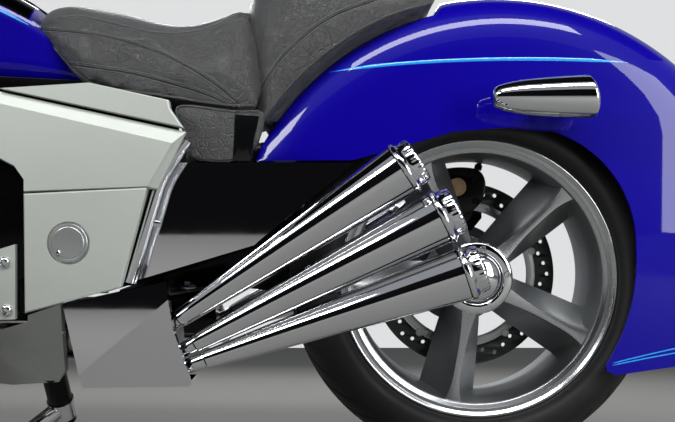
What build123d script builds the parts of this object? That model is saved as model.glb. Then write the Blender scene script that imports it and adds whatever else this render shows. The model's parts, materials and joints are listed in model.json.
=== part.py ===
# A large cruiser motorcycle with a flat-six engine, parked on its side stand.
# It is drawn upright and then leaned over as a whole.
# X points forward from the rear axle, Y to the rider's left and Z up from the road, in millimetres.
from build123d import *
from math import cos, pi, radians, sin, tan
import os

os.makedirs("parts", exist_ok=True)

# Stance
wheelbase = 1750
lean = 8
rake = 29
trail = 140

# Tyres and rims
crown_radius = 105
# The crown's edges stand at 8, 24, 40 and 56 degrees each way, so that the machine leans on one
crown_reach = 40
crown_step = 16
# The carcass goes round in flat steps that stand on the road with a flat
tyre_steps = 76
rear_tyre_radius = 315
rear_tyre_width = 180
rear_rim_radius = 230
rear_rim_width = 152
front_tyre_radius = 319
front_tyre_width = 150
front_rim_radius = 243
front_rim_width = 118
tyre_wall = 9
bead_depth = 14
lip_width = 5
lip_depth = 21
rim_wall = 6
tyre_fit = 0.05
spoke_count = 5
running_fit = 0.05

# Hubs, axles and brake discs
rear_hub_radius = 60
rear_axle_radius = 25
front_hub_radius = 34
front_axle_radius = 12.5
rear_disc_radius = 168
rear_disc_y = -66
front_disc_radius = 165
front_disc_y = 72
disc_thickness = 5
disc_band = 34

# Rear fender
fender_half = 115
fender_wall = 4
fender_radius = 475
fender_dome = 65
fender_offset = -30

# Body sides, from the centre plane to each outer face
cover_y = 230
cover_thickness = 14
cover_bevel = 7
skirt_y = 190
panel_y = 180
faceted_y = 240
faceted_depth = 16
rail_y = 235

# Engine
crankcase_half = 150
crankcase_top = 520
crankcase_front = 1308
head_y = 345
cylinder_pitch = 150
cylinder_rear_x = 945
cylinder_z = 400

# Fuel tank
tank_floor = 618

# Steering
fork_half = 125
fork_tube_radius = 26
fork_slider_radius = 31
head_tube_radius = 38
stem_radius = 20
head_low = 800
head_high = 955
clamp_thickness = 26
clamp_gap = 1

# Side stand
stand_pivot = (645, 190, 132)
stand_foot_x = 735
stand_foot_y = 340
stand_tube_radius = 13
stand_eye_radius = 19
stand_eye_width = 30
stand_pin_radius = 7
foot_thickness = 8
foot_length = 74
foot_width = 46

lift = crown_radius * (1 - cos(radians(lean)))
rear_axle = Vector(0, 0, rear_tyre_radius)
front_axle = Vector(wheelbase, 0, front_tyre_radius)
fork_up = Vector(-sin(radians(rake)), 0, cos(radians(rake)))
forward_of_fork = Vector(cos(radians(rake)), 0, sin(radians(rake)))
head_ground = Vector(wheelbase + trail, 0, 0)
left_of_bike = Vector(0, 1, 0)

pieces = []


def finish(piece, name):
    """Labels a piece and puts it in the list of finished pieces."""
    piece.part.label = name
    pieces.append(piece)


def finish_pair(piece, name):
    """Finishes a left-hand piece and its mirror image on the right."""
    with BuildPart() as twin:
        mirror(piece.part, about=Plane.XZ)
    finish(piece, name + "_left")
    finish(twin, name + "_right")


def finish_both(piece, name):
    """Finishes a left-hand piece and its mirror image as one node of separate solids."""
    with BuildPart() as both:
        add(piece.part)
        mirror(piece.part, about=Plane.XZ)
    finish(both, name)


def side_plate(points, inner, outer, mode=Mode.ADD):
    """Extrudes an outline of X and Z points from the lateral place inner to outer."""
    with BuildSketch(Plane.XZ.offset(-outer)) as outline:
        with BuildLine():
            Polyline(*points, close=True)
        make_face()
    extrude(outline.sketch, amount=outer - inner, mode=mode)


def bevelled_plate(outline, face, inner, outer, depth):
    """A plate whose outer face is a smaller outline, so that bevels run down to the edge."""
    side_plate(outline, inner, outer - depth)
    with BuildSketch(Plane.XZ.offset(depth - outer)) as foot:
        with BuildLine():
            Polyline(*outline, close=True)
        make_face()
    with BuildSketch(Plane.XZ.offset(-outer)) as top:
        with BuildLine():
            Polyline(*face, close=True)
        make_face()
    loft([foot.sketch, top.sketch], ruled=True)


def turned(origin, along, profile):
    """Turns a closed profile of lengths and radii about a line through origin."""
    side = Vector(0, 0, 1) if abs(along.Z) < 0.9 else Vector(1, 0, 0)
    across = along.cross(side).normalized()
    with BuildSketch(Plane(origin=origin, x_dir=along, z_dir=along.cross(across))) as section:
        with BuildLine():
            Polyline(*profile, close=True)
        make_face()
    revolve(section.sketch, axis=Axis(origin, along))


def cross_bar(x, z, radius, inner, outer, mode=Mode.ADD):
    """A round bar along Y from inner to outer."""
    with BuildSketch(Plane.XZ.offset(-outer)) as section:
        with Locations((x, z)):
            Circle(radius)
    extrude(section.sketch, amount=outer - inner, mode=mode)


def bar(start, end, radius, mode=Mode.ADD):
    """A straight round bar between two points."""
    along = Vector(end) - Vector(start)
    with BuildSketch(Plane(origin=start, z_dir=along)) as section:
        Circle(radius)
    extrude(section.sketch, amount=along.length, mode=mode)


def tube(points, radius, bend):
    """A round bar along straight runs joined by tangent arcs."""
    with BuildLine(mode=Mode.PRIVATE) as route:
        FilletPolyline(*points, radius=bend)
    path = route.wire()
    with BuildSketch(Plane(origin=path @ 0, z_dir=path % 0)) as section:
        Circle(radius)
    sweep(section.sketch, path=path)


def wheel_profile(axle):
    """The plane of a wheel's cross-section: its x is lateral and its y is the distance from the axle."""
    return Plane(origin=axle, x_dir=(0, 1, 0), z_dir=(1, 0, 0))


def dome(rim, tip):
    """The arc of a shallow round dome, from a point on its rim to its tip on the axis."""
    depth = abs(tip - rim[0])
    radius = (rim[1] ** 2 + depth**2) / (2 * depth)
    sag = radius - (radius**2 - rim[1] ** 2 / 4) ** 0.5
    return ThreePointArc(rim, (tip - sag if tip > rim[0] else tip + sag, rim[1] / 2), (tip, 0))


def on_head(length):
    """The point at a length along the steering axis, measured up from the road."""
    return head_ground + fork_up * length


def on_fork(length, y):
    """The point at a length above the axle on a fork leg's centre line."""
    return front_axle + fork_up * length + left_of_bike * y


# Tyres: a carcass of flat faces that lie on a round crown and sit on the rim between its lips
def tyre(axle, radius, width, rim_radius, rim_width):
    half = width / 2
    seat = rim_radius - bead_depth + tyre_fit
    bead = rim_width / 2 - lip_width - tyre_fit
    centre = radius - crown_radius
    crown = [
        (crown_radius * sin(radians(turn)), centre + crown_radius * cos(radians(turn)))
        for turn in range(-crown_reach, crown_reach + 1, crown_step)
        if abs(crown_radius * sin(radians(turn))) < half
    ]
    side = (crown[-1][1] + rim_radius) / 2
    outline = crown + [
        (half, side), (bead, rim_radius), (bead, seat), (bead - tyre_wall, seat),
        (half - 2 * tyre_wall, side), (0, radius - tyre_wall), (2 * tyre_wall - half, side),
        (tyre_wall - bead, seat), (-bead, seat), (-bead, rim_radius), (-half, side),
    ]
    across_flats = cos(pi / tyre_steps)
    sections = []
    for step in range(tyre_steps):
        turn = radians((step + 0.5) * 360 / tyre_steps - 90)
        out = Vector(cos(turn), 0, sin(turn)) / across_flats
        sections.append([axle + left_of_bike * y + out * r for y, r in outline])
    faces = []
    for here, following in zip(sections, sections[1:] + sections[:1]):
        for place in range(len(outline)):
            corners = (here[place - 1], here[place], following[place], following[place - 1])
            faces.append(Face(Wire.make_polygon(corners)))
    add(Solid(Shell(faces)))


with BuildPart() as rear_tyre:
    tyre(rear_axle, rear_tyre_radius, rear_tyre_width, rear_rim_radius, rear_rim_width)
finish(rear_tyre, "rear_tyre")

with BuildPart() as front_tyre:
    tyre(front_axle, front_tyre_radius, front_tyre_width, front_rim_radius, front_rim_width)
finish(front_tyre, "front_tyre")


# Rims: a dropped barrel with two lips, and five spokes that widen towards the back
def barrel(axle, radius, width):
    half = width / 2
    seat = radius - bead_depth
    well = half * 0.42
    with BuildSketch(wheel_profile(axle)) as wall:
        with BuildLine():
            Polyline(
                (half, radius), (half - lip_width, radius), (half - lip_width, seat),
                (half * 0.62, seat - 2), (well, seat - 16), (-well, seat - 16),
                (-half * 0.62, seat - 2), (lip_width - half, seat), (lip_width - half, radius),
                (-half, radius), (-half, radius - lip_depth), (-half * 0.78, seat - 2 - rim_wall),
                (-well, seat - 16 - rim_wall), (well, seat - 16 - rim_wall),
                (half * 0.78, seat - 2 - rim_wall), (half, radius - lip_depth),
                close=True,
            )
        make_face()
    revolve(wall.sketch, axis=Axis(axle, (0, 1, 0)))


def spoke(axle, angle, sections):
    """Lofts one spoke through sections of radius, front width, back width, front and back place."""
    out = Vector(cos(radians(angle)), 0, sin(radians(angle)))
    across = Vector(sin(radians(angle)), 0, -cos(radians(angle)))
    slices = []
    for radius, front_width, back_width, front_y, back_y in sections:
        with BuildSketch(Plane(origin=axle + out * radius, x_dir=across, z_dir=out)) as cut:
            with BuildLine():
                Polyline(
                    (-front_width / 2, front_y), (front_width / 2, front_y),
                    (back_width / 2, back_y), (-back_width / 2, back_y),
                    close=True,
                )
            make_face()
        slices.append(cut.sketch)
    loft(slices, ruled=True)


# radius, front width, back width, front place, back place
rear_spoke = (
    (40, 30, 52, 55, -20),
    (78, 20, 62, 57, -22),
    (150, 15, 84, 60, -26),
    (203, 26, 100, 66, -30),
)
front_spoke = (
    (24, 26, 34, 40, -30),
    (60, 16, 40, 40, -34),
    (160, 13, 56, 44, -38),
    (213, 24, 70, 48, -42),
)
rear_spoke_start = 65
front_spoke_start = 90

with BuildPart() as rear_rim:
    barrel(rear_axle, rear_rim_radius, rear_rim_width)
    for number in range(spoke_count):
        spoke(rear_axle, rear_spoke_start + number * 360 / spoke_count, rear_spoke)
    cross_bar(0, rear_axle.Z, rear_hub_radius, rear_disc_y + disc_thickness / 2, 56)
    cross_bar(0, rear_axle.Z, rear_axle_radius + running_fit, rear_disc_y - 10, 30, Mode.SUBTRACT)
finish(rear_rim, "rear_rim")

with BuildPart() as front_rim:
    barrel(front_axle, front_rim_radius, front_rim_width)
    for number in range(spoke_count):
        spoke(front_axle, front_spoke_start + number * 360 / spoke_count, front_spoke)
    cross_bar(
        front_axle.X, front_axle.Z, front_hub_radius,
        -front_disc_y + disc_thickness / 2, front_disc_y - disc_thickness / 2,
    )
    cross_bar(
        front_axle.X, front_axle.Z, front_axle_radius + running_fit,
        -front_disc_y, front_disc_y, Mode.SUBTRACT,
    )
finish(front_rim, "front_rim")

# Chrome cap over the end of the rear hub
cap_radius = 46
cap_depth = 14
with BuildPart() as rear_hub_cap:
    with BuildSketch(wheel_profile(rear_axle)):
        with BuildLine():
            Line((56, 0), (56, cap_radius))
            Line((56, cap_radius), (60, cap_radius))
            dome((60, cap_radius), 56 + cap_depth)
            Line((56 + cap_depth, 0), (56, 0))
        make_face()
    revolve(axis=Axis(rear_axle, (0, 1, 0)))
finish(rear_hub_cap, "rear_hub_cap")


# Brake discs, each a flat ring on five arms that meet the hub
def brake_disc(axle, radius, y, hub_radius, bore):
    face = y + disc_thickness / 2
    cross_bar(axle.X, axle.Z, radius, face - disc_thickness, face)
    cross_bar(axle.X, axle.Z, radius - disc_band, face - disc_thickness, face, Mode.SUBTRACT)
    reach = radius - disc_band / 2
    for number in range(spoke_count):
        turn = number * 360 / spoke_count
        with BuildSketch(Plane.XZ.offset(-face)) as arm:
            with Locations((axle.X, axle.Z)):
                with PolarLocations(reach / 2, 1, turn):
                    Rectangle(reach, 22)
        extrude(arm.sketch, amount=disc_thickness)
    cross_bar(axle.X, axle.Z, hub_radius, face - disc_thickness, face)
    cross_bar(axle.X, axle.Z, bore, face - disc_thickness, face, Mode.SUBTRACT)


with BuildPart() as rear_disc:
    brake_disc(rear_axle, rear_disc_radius, rear_disc_y, rear_hub_radius, rear_axle_radius + running_fit)
finish(rear_disc, "rear_disc")

with BuildPart() as front_discs:
    for y in (front_disc_y, -front_disc_y):
        brake_disc(front_axle, front_disc_radius, y, 45, front_axle_radius + running_fit)
finish(front_discs, "front_discs")


# Rear fender: a crowned band about its own centre, cut to the seat line and to the wheel arch
# The line under the seats, from the top of the fender to its front corner, X and Z
seat_line = ((60, 779), (75, 748), (139, 724), (229, 676), (287, 626), (319, 580), (352, 542), (368, 508))


def fender_body(inset):
    """The fender's outer form, drawn in by inset."""
    half = fender_half - inset
    top = fender_radius - inset
    edge = top - fender_dome
    with BuildSketch(Plane(origin=(fender_offset, 0, rear_axle.Z), x_dir=(0, 1, 0), z_dir=(1, 0, 0))) as crown:
        with BuildLine():
            Line((-half, 0), (-half, edge))
            ThreePointArc((-half, edge), (0, top), (half, edge))
            Line((half, edge), (half, 0))
            Line((half, 0), (-half, 0))
        make_face()
    revolve(crown.sketch, axis=Axis((fender_offset, 0, rear_axle.Z), (0, 1, 0)))
    with BuildSketch(Plane.XZ.offset(-2 * fender_half)) as side:
        with BuildLine():
            Polyline(*seat_line, (370, 0), (-700, 0), (-700, 900), (60, 900), close=True)
        make_face()
        if inset:
            offset(amount=-inset, kind=Kind.INTERSECTION)
    extrude(side.sketch, amount=4 * fender_half, mode=Mode.INTERSECT)


with BuildPart() as fender_cavity:
    fender_body(fender_wall)

with BuildPart() as fender_form:
    fender_body(0)

with BuildPart() as rear_fender:
    add(fender_form.part)
    add(fender_cavity.part, mode=Mode.SUBTRACT)
    with BuildSketch(Plane.XZ.offset(-2 * fender_half)):
        with BuildLine():
            Polyline((400, 504), (207, 504), (110, 532), (48, 552), (-110, 552))
            ThreePointArc((-110, 552), (-205, 485), (-243, 365))
            ThreePointArc((-243, 365), (-231, 258), (-194, 178))
            Polyline((-194, 178), (-204, 162), (-304, 177), (-600, 228), (-600, -200), (400, -200), (400, 504))
        make_face()
    extrude(amount=4 * fender_half, mode=Mode.SUBTRACT)
finish(rear_fender, "rear_fender")

# Seats: the rider's from the tank to the step, and the passenger's pad behind it
seat_half = 150
seat_clearance = 0.3
# The line between the seat's nose and the tank's tail, from below to the tip
nose_line = ((525, 607), (595, 621), (635, 637), (659, 657), (683, 689), (720, 730))
with BuildPart() as rider_seat:
    side_plate(
        (
            (690, 762), (672, 766), (594, 753), (542, 740), (489, 734), (459, 738), (434, 749),
            (399, 758), (389, 752), (372, 620), (362, 590), (390, 582), (423, 587), *nose_line,
        ),
        -seat_half, seat_half,
    )
    # From above, the seat narrows to its nose
    with BuildSketch():
        with BuildLine():
            Polyline(
                (350, seat_half - 8), (430, seat_half), (530, seat_half), (640, seat_half - 14), (700, seat_half - 46),
                (730, seat_half - 80), (730, 80 - seat_half), (700, 46 - seat_half), (640, 14 - seat_half),
                (530, -seat_half), (430, -seat_half), (350, 8 - seat_half), close=True,
            )
        make_face()
    extrude(amount=1000, mode=Mode.INTERSECT)
finish(rider_seat, "rider_seat")

with BuildPart() as fender_gauge:
    fender_body(-seat_clearance)

with BuildPart() as passenger_seat:
    side_plate(
        (
            (388, 770), (380, 800), (330, 822), (240, 824), (150, 810), (85, 792), (66, 780),
            (66, 740), (141, 700), (231, 650), (289, 600), (322, 560), (354, 560), (370, 620),
        ),
        -seat_half + 10, seat_half - 10,
    )
    add(fender_gauge.part, mode=Mode.SUBTRACT)
finish(passenger_seat, "passenger_seat")

# Leather skirt below the seat on each side
with BuildPart() as seat_skirt:
    side_plate(
        ((480, 570), (461, 539), (458, 527), (459, 496), (361, 496), (347, 574), (382, 570), (413, 574), (478, 584)),
        skirt_y - 12, skirt_y,
    )
finish_both(seat_skirt, "seat_skirts")

# Mirror-chrome panel below the skirt and the fender
with BuildPart() as chrome_panel:
    side_plate(((494, 496), (540, 318), (360, 372), (351, 380), (208, 496)), panel_y - 8, panel_y)
finish_both(chrome_panel, "chrome_panels")

# Aluminium covers of the frame: strip, upper cover and pivot cover
with BuildPart() as side_strip:
    bevelled_plate(
        ((719, 598.2), (592, 606), (478, 581), (476, 569), (457, 541), (719, 597)),
        ((716, 598), (592, 604.5), (480, 579.5), (478, 568.5), (461, 543.5), (716, 597.4)),
        cover_y - cover_thickness, cover_y, 1.5,
    )

side_cover_outline = (
    (800, 611), (454, 536), (495.5, 454), (687, 448.5), (687, 466), (700, 485), (722, 496), (760, 504), (800, 510),
)
side_cover_face = (
    (798, 594), (472.6, 519), (508.4, 457.5), (685, 450.5), (685, 467), (699, 487), (721, 498.5), (760, 506.5), (798, 512),
)
with BuildPart() as side_cover:
    bevelled_plate(side_cover_outline, side_cover_face, cover_y - cover_thickness, cover_y, cover_bevel)

pivot_cover_outline = ((686, 446.5), (509, 455.5), (511, 447), (547, 313), (551, 311), (684, 275))
pivot_cover_face = ((684, 444.5), (512, 453), (513.5, 447), (549, 315), (552, 313), (682, 277.5))
cap_x = 621
cap_z = 376
access_cap_radius = 28
with BuildPart() as pivot_cover:
    bevelled_plate(pivot_cover_outline, pivot_cover_face, cover_y - cover_thickness, cover_y, 2)
    cross_bar(cap_x, cap_z, access_cap_radius + 3, cover_y - 4, cover_y, Mode.SUBTRACT)

# Bolted plate ahead of the pivot cover
with BuildPart() as mount_plate:
    side_plate(((700, 374), (700, 266), (795, 263), (795, 345)), cover_y - cover_thickness, cover_y - 6)

with BuildPart() as frame_covers:
    add(side_strip.part)
    add(side_cover.part)
    add(pivot_cover.part)
    add(mount_plate.part)
finish_pair(frame_covers, "frame_covers")

with BuildPart() as access_cap:
    turned(
        Vector(cap_x, cover_y - 4, cap_z), left_of_bike,
        ((0, 0), (0, access_cap_radius), (5, access_cap_radius), (7, access_cap_radius - 3), (7, 0)),
    )
finish_both(access_cap, "access_caps")

crease_low = (596, 195)
crease_high = (477, 295)
with BuildPart() as faceted_cover:
    side_plate(
        ((629, 288), (480, 321), (476, 294), (470, 253), (445, 175), (449, 170), (598, 170)),
        panel_y, faceted_y,
    )
    # Each facet is a plane through the crease that falls away to its own far corner: X, Y and Z of the corner
    for corner_x, corner_y, corner_z in ((629, faceted_y - 9, 288), (449, faceted_y - 12, 170)):
        crease = Vector(crease_high[0] - crease_low[0], 0, crease_high[1] - crease_low[1])
        to_corner = Vector(corner_x - crease_low[0], corner_y - faceted_y, corner_z - crease_low[1])
        facet = crease.cross(to_corner).normalized()
        split(
            bisect_by=Plane(origin=(crease_low[0], faceted_y, crease_low[1]), z_dir=facet if facet.Y > 0 else facet * -1),
            keep=Keep.BOTTOM,
        )
    side_plate(
        ((700, 264), (486, 312), (400, 312), (400, 178), (700, 178)),
        panel_y - 1, faceted_y - faceted_depth, Mode.SUBTRACT,
    )
finish_both(faceted_cover, "faceted_covers")

pivot_x = 582
pivot_z = 350
pivot_radius = 26
# Frame: steering head, two spars, pivot plates and the arch that carries the seats
head_middle = on_head((head_low + head_high) / 2)
with BuildPart() as main_frame:
    bar(on_head(head_low), on_head(head_high), head_tube_radius)
    for side in (1, -1):
        # place along X, centre Y and Z, width and height of each spar section
        for x, y, z, width, height in (
            (700, 201, 545, 30, 90), (1120, 150, 590, 32, 80), (head_middle.X - 25, 35, head_middle.Z - 7, 50, 110),
        ):
            with BuildSketch(Plane(origin=(x, side * y, z), x_dir=(0, 1, 0), z_dir=(1, 0, 0))):
                Rectangle(width, height)
        loft(ruled=True)
        inner, outer = sorted((side * (cover_y - 14), side * (cover_y - 40)))
        side_plate(
            ((760, 597), (592, 602), (482, 577), (470, 545), (481, 520), (508, 468), (524, 410), (552, 318), (566, 310), (690, 272), (740, 300)),
            inner, outer,
        )
    cross_bar(pivot_x, pivot_z, pivot_radius, -(cover_y - 30), cover_y - 30)
    cross_bar(712, 530, 24, -(cover_y - 30), cover_y - 30)
    cross_bar(505, 528, 16, -(cover_y - 30), cover_y - 30)
    cross_bar(550, 598, 13.4, -(cover_y - 30), cover_y - 30)
    cross_bar(860, tank_floor - 16, 16, -165, 165)
    cross_bar(1100, crankcase_top + 18, 18, -145, 145)
    cross_bar(385, 530, 24.4, -100, 100)
    for side in (1, -1):
        bar((385, side * 80, 530), (505, side * 80, 528), 12)
    bar(on_head(head_low - 20), on_head(head_high + 20), stem_radius + running_fit, Mode.SUBTRACT)
finish(main_frame, "main_frame")

sump_half = 100
# Chrome post on each side, between the frame and the side panel
post_y = 205
post_radius = 9.5
post_points = ((457.5, post_y, 527), (495.5, post_y, 468), (540, post_y, 318))
with BuildPart() as frame_post:
    tube(post_points, post_radius, 120)
    cross_bar(511, 405, 6, panel_y, post_y)
    for x, z in ((500, 455), (536, 330)):
        bar((x, post_y, z), (x + 30, post_y, z + 8), 6)
    add(main_frame.part, mode=Mode.SUBTRACT)
finish_both(frame_post, "frame_posts")

# Lower rails that carry the engine
with BuildPart() as lower_rail:
    side_plate(
        ((760, 236), (717, 252), (677, 264), (677, 273), (631, 289), (624, 194), (633, 178), (698, 174), (760, 180)),
        rail_y - 14, rail_y,
    )
    side_plate(((700, 180), (700, 198), (760, 198), (760, 180)), sump_half, rail_y)
finish_both(lower_rail, "lower_rails")

# Engine: crankcase with its sump and three finned barrels a side, then heads and covers
head_half_length = cylinder_pitch * 1.5
bank_x = cylinder_rear_x + cylinder_pitch
barrel_radius = 56
fin_radius = 68
fin_pitch = 13
fin_thickness = 4
fin_count = 6
clutch_x = 752
clutch_z = 425
clutch_radius = 60
head_depth = 70
cover_depth = 40
barrel_end = head_y - cover_depth - head_depth
with BuildPart() as engine_block:
    side_plate(
        (
            (700, 300), (760, 225), (crankcase_front - 48, 225), (crankcase_front, 290),
            (crankcase_front, 470), (crankcase_front - 48, crankcase_top), (780, crankcase_top), (720, 470),
        ),
        -crankcase_half, crankcase_half,
    )
    side_plate(
        ((690, 240), (690, 178), (crankcase_front - 58, 178), (crankcase_front - 18, 240)), -sump_half, sump_half,
    )
    for side in (1, -1):
        for number in range(3):
            x = cylinder_rear_x + number * cylinder_pitch
            inner, outer = sorted((side * crankcase_half, side * barrel_end))
            cross_bar(x, cylinder_z, barrel_radius, inner, outer)
            for fin in range(fin_count):
                place = side * (crankcase_half + fin_pitch * (fin + 0.5))
                cross_bar(x, cylinder_z, fin_radius, place - fin_thickness / 2, place + fin_thickness / 2)
    # Ribbed clutch cover on the left, behind the arch of the frame cover
    cross_bar(clutch_x, clutch_z, clutch_radius, crankcase_half, crankcase_half + 30)
    cross_bar(clutch_x, clutch_z, clutch_radius - 22, crankcase_half, crankcase_half + 40)
    with BuildSketch(Plane.XZ.offset(-crankcase_half - 36)):
        with Locations((clutch_x, clutch_z)):
            with PolarLocations(clutch_radius - 14, 16):
                Rectangle(24, 3)
    extrude(amount=12)
    # Round cover on the front of the crankcase
    with BuildSketch(Plane(origin=(crankcase_front, 0, 380), x_dir=(0, 1, 0), z_dir=(1, 0, 0))):
        Circle(85)
    extrude(amount=12)
    with BuildSketch(Plane(origin=(crankcase_front + 12, 0, 380), x_dir=(0, 1, 0), z_dir=(1, 0, 0))):
        Circle(60)
    extrude(amount=10)
finish(engine_block, "engine_block")

with BuildPart() as cylinder_head:
    low = cylinder_z - 90
    high = cylinder_z + 90
    rear = bank_x - head_half_length - 10
    front = bank_x + head_half_length + 10
    side_plate(
        (
            (rear, low + 24), (rear + 24, low), (front - 24, low), (front, low + 24),
            (front, high - 24), (front - 24, high), (rear + 24, high), (rear, high - 24),
        ),
        barrel_end, head_y - cover_depth,
    )
    for number in range(3):
        x = cylinder_rear_x + number * cylinder_pitch + 38
        bar((x, barrel_end + 28, high - 2), (x, barrel_end + 42, high + 16), 13)
finish_both(cylinder_head, "cylinder_heads")


def cover_outline(inset):
    """The eight-cornered outline of a head cover, drawn in by inset."""
    half = head_half_length - inset
    high = 75 - inset
    cut = 26
    return (
        (bank_x - half, cylinder_z - high + cut), (bank_x - half + cut, cylinder_z - high),
        (bank_x + half - cut, cylinder_z - high), (bank_x + half, cylinder_z - high + cut),
        (bank_x + half, cylinder_z + high - cut), (bank_x + half - cut, cylinder_z + high),
        (bank_x - half + cut, cylinder_z + high), (bank_x - half, cylinder_z + high - cut),
    )


rib_count = 5
rib_pitch = 20
with BuildPart() as head_cover:
    bevelled_plate(cover_outline(0), cover_outline(16), head_y - cover_depth, head_y, 16)
    for rib in range(rib_count):
        z = cylinder_z + (rib - (rib_count - 1) / 2) * rib_pitch
        side_plate(
            ((bank_x - 170, z - 3), (bank_x + 170, z - 3), (bank_x + 170, z + 3), (bank_x - 170, z + 3)),
            head_y - 1, head_y + 5,
        )
finish_both(head_cover, "head_covers")

# Intake runners from the crankcase's top edge to each head
runner_radius = 14
runner_z = crankcase_top - 14
with BuildPart() as intake_runner:
    for number in range(3):
        x = cylinder_rear_x + number * cylinder_pitch - 30
        tube(
            ((x, crankcase_half, runner_z), (x, head_y - 78, runner_z), (x, head_y - 78, cylinder_z + 90)),
            runner_radius, 15.5,
        )
finish_both(intake_runner, "intake_runners")

# Radiators on each side, ahead of the engine, with slatted cores
radiator_x = 1362
radiator_inner = 78
radiator_outer = 250
radiator_low = 350
radiator_high = 630
radiator_depth = 46
slat_pitch = 14
with BuildPart() as radiator:
    with BuildSketch(Plane(origin=(radiator_x - radiator_depth / 2, 0, 0), x_dir=(0, 1, 0), z_dir=(1, 0, 0))):
        with Locations(((radiator_inner + radiator_outer) / 2, (radiator_low + radiator_high) / 2)):
            RectangleRounded(radiator_outer - radiator_inner, radiator_high - radiator_low, 14)
    extrude(amount=radiator_depth)
    with BuildSketch(Plane(origin=(radiator_x + radiator_depth / 2, 0, 0), x_dir=(0, 1, 0), z_dir=(1, 0, 0))):
        with Locations(((radiator_inner + radiator_outer) / 2, (radiator_low + radiator_high) / 2)):
            with GridLocations(1, slat_pitch, 1, int((radiator_high - radiator_low - 40) / slat_pitch)):
                Rectangle(radiator_outer - radiator_inner - 36, slat_pitch - 5)
    extrude(amount=-8, mode=Mode.SUBTRACT)
    bar((radiator_x, radiator_inner + 20, radiator_high - 4), (radiator_x - 20, radiator_inner - 4, radiator_high + 60), 8)
    bar((radiator_x - radiator_depth / 2, radiator_inner + 40, radiator_low + 60), (crankcase_front - 5, radiator_inner + 40, radiator_low + 60), 10)
    add(main_frame.part, mode=Mode.SUBTRACT)
    add(engine_block.part, mode=Mode.SUBTRACT)
finish_both(radiator, "radiators")

# Exhaust: three header pipes a side, a chamber behind the faceted cover and three cones
header_radius = 19
collector_radius = 29
collector_y = 190
collector_z = 232
chamber_front = 590
with BuildPart() as header_pipes:
    for number in range(3):
        port_x = cylinder_rear_x + number * cylinder_pitch
        tube(
            (
                (port_x, head_y - 75, cylinder_z - 90), (port_x, head_y - 75, cylinder_z - 140),
                (port_x - 60, collector_y, collector_z), (port_x - 130, collector_y, collector_z),
            ),
            header_radius, 24,
        )
    bar((cylinder_rear_x + 2 * cylinder_pitch - 100, collector_y, collector_z), (chamber_front, collector_y, collector_z), collector_radius)
finish_both(header_pipes, "header_pipes")

# small end and big end of each cone, X and Z
cones = (((465, 266), (147, 478)), ((441, 230), (94, 411)), ((425, 206), (60, 333)))
cone_small_radius = 13.5
cone_big_radius = 38
cone_small_y = 208
cone_big_y = 250
cone_wall = 3
tip_length = 30
stub_length = 55
chamber_inner = 160
with BuildPart() as exhaust_chamber:
    side_plate(((590, 262), (500, 276), (470, 250), (466, 192), (590, 192)), chamber_inner, faceted_y - faceted_depth - 2)
    cross_bar(530, 230, 10, faceted_y - faceted_depth - 2, faceted_y - faceted_depth)
finish_both(exhaust_chamber, "exhaust_chambers")

with BuildPart() as exhaust_cones:
    for (small_x, small_z), (big_x, big_z) in cones:
        small = Vector(small_x, cone_small_y, small_z)
        big = Vector(big_x, cone_big_y, big_z)
        length = (big - small).length
        outlet = length + tip_length
        # lengths and radii: stub, cone, seam, bead, stepped tip and bore
        turned(
            small, (big - small).normalized(),
            (
                (-stub_length, 0), (-stub_length, cone_small_radius - 2), (-2, cone_small_radius - 2),
                (0, cone_small_radius), (length, cone_big_radius),
                (length, cone_big_radius - 1.5), (length + 1.5, cone_big_radius - 1.5), (length + 1.5, cone_big_radius + 1),
                (length + 5, cone_big_radius + 2.5), (length + 10, cone_big_radius + 1.5), (length + 13, cone_big_radius - 3),
                (length + 15, cone_big_radius - 4), (outlet - 4, cone_big_radius - 4.5), (outlet, cone_big_radius - 7),
                (outlet, cone_big_radius - 10), (outlet - 5, cone_big_radius - 10 - cone_wall), (length - 60, cone_big_radius - 14 - cone_wall),
                (length - 60, 0),
            ),
        )
    add(exhaust_chamber.part, mode=Mode.SUBTRACT)
    add(faceted_cover.part, mode=Mode.SUBTRACT)
finish_pair(exhaust_cones, "exhaust_cones")

# Fuel tank, whose tail runs down under the seat's nose
# place along X, half width, lowest and highest Z and corner radius
tank_sections = (
    (622, 92, tank_floor, 668, 22),
    (724, 126, tank_floor, 757, 46),
    (860, 158, tank_floor, 815, 50),
    (1120, 165, 655, 868, 46),
    (1280, 120, 735, 855, 40),
)
with BuildPart() as fuel_tank:
    for x, half, low, high, corner in tank_sections:
        with BuildSketch(Plane(origin=(x, 0, (low + high) / 2), x_dir=(0, 1, 0), z_dir=(1, 0, 0))):
            RectangleRounded(2 * half, high - low, corner)
    loft()
    nose_cut = tuple((x + seat_clearance, z - seat_clearance) for x, z in nose_line)
    side_plate(nose_cut + ((nose_cut[-1][0], 900), (nose_cut[0][0], 900)), -200, 200, Mode.SUBTRACT)
    add(main_frame.part, mode=Mode.SUBTRACT)
finish(fuel_tank, "fuel_tank")

# Chrome console along the top of the tank
console_half = 34
console_floor = 745
with BuildPart() as tank_console:
    side_plate(
        (
            (724, console_floor), (1240, console_floor), (1240, 872), (1120, 888),
            (900, 850), (830, 826), (753, 783), (724, 763),
        ),
        -console_half, console_half,
    )
    add(fuel_tank.part, mode=Mode.SUBTRACT)
finish(tank_console, "tank_console")

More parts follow.
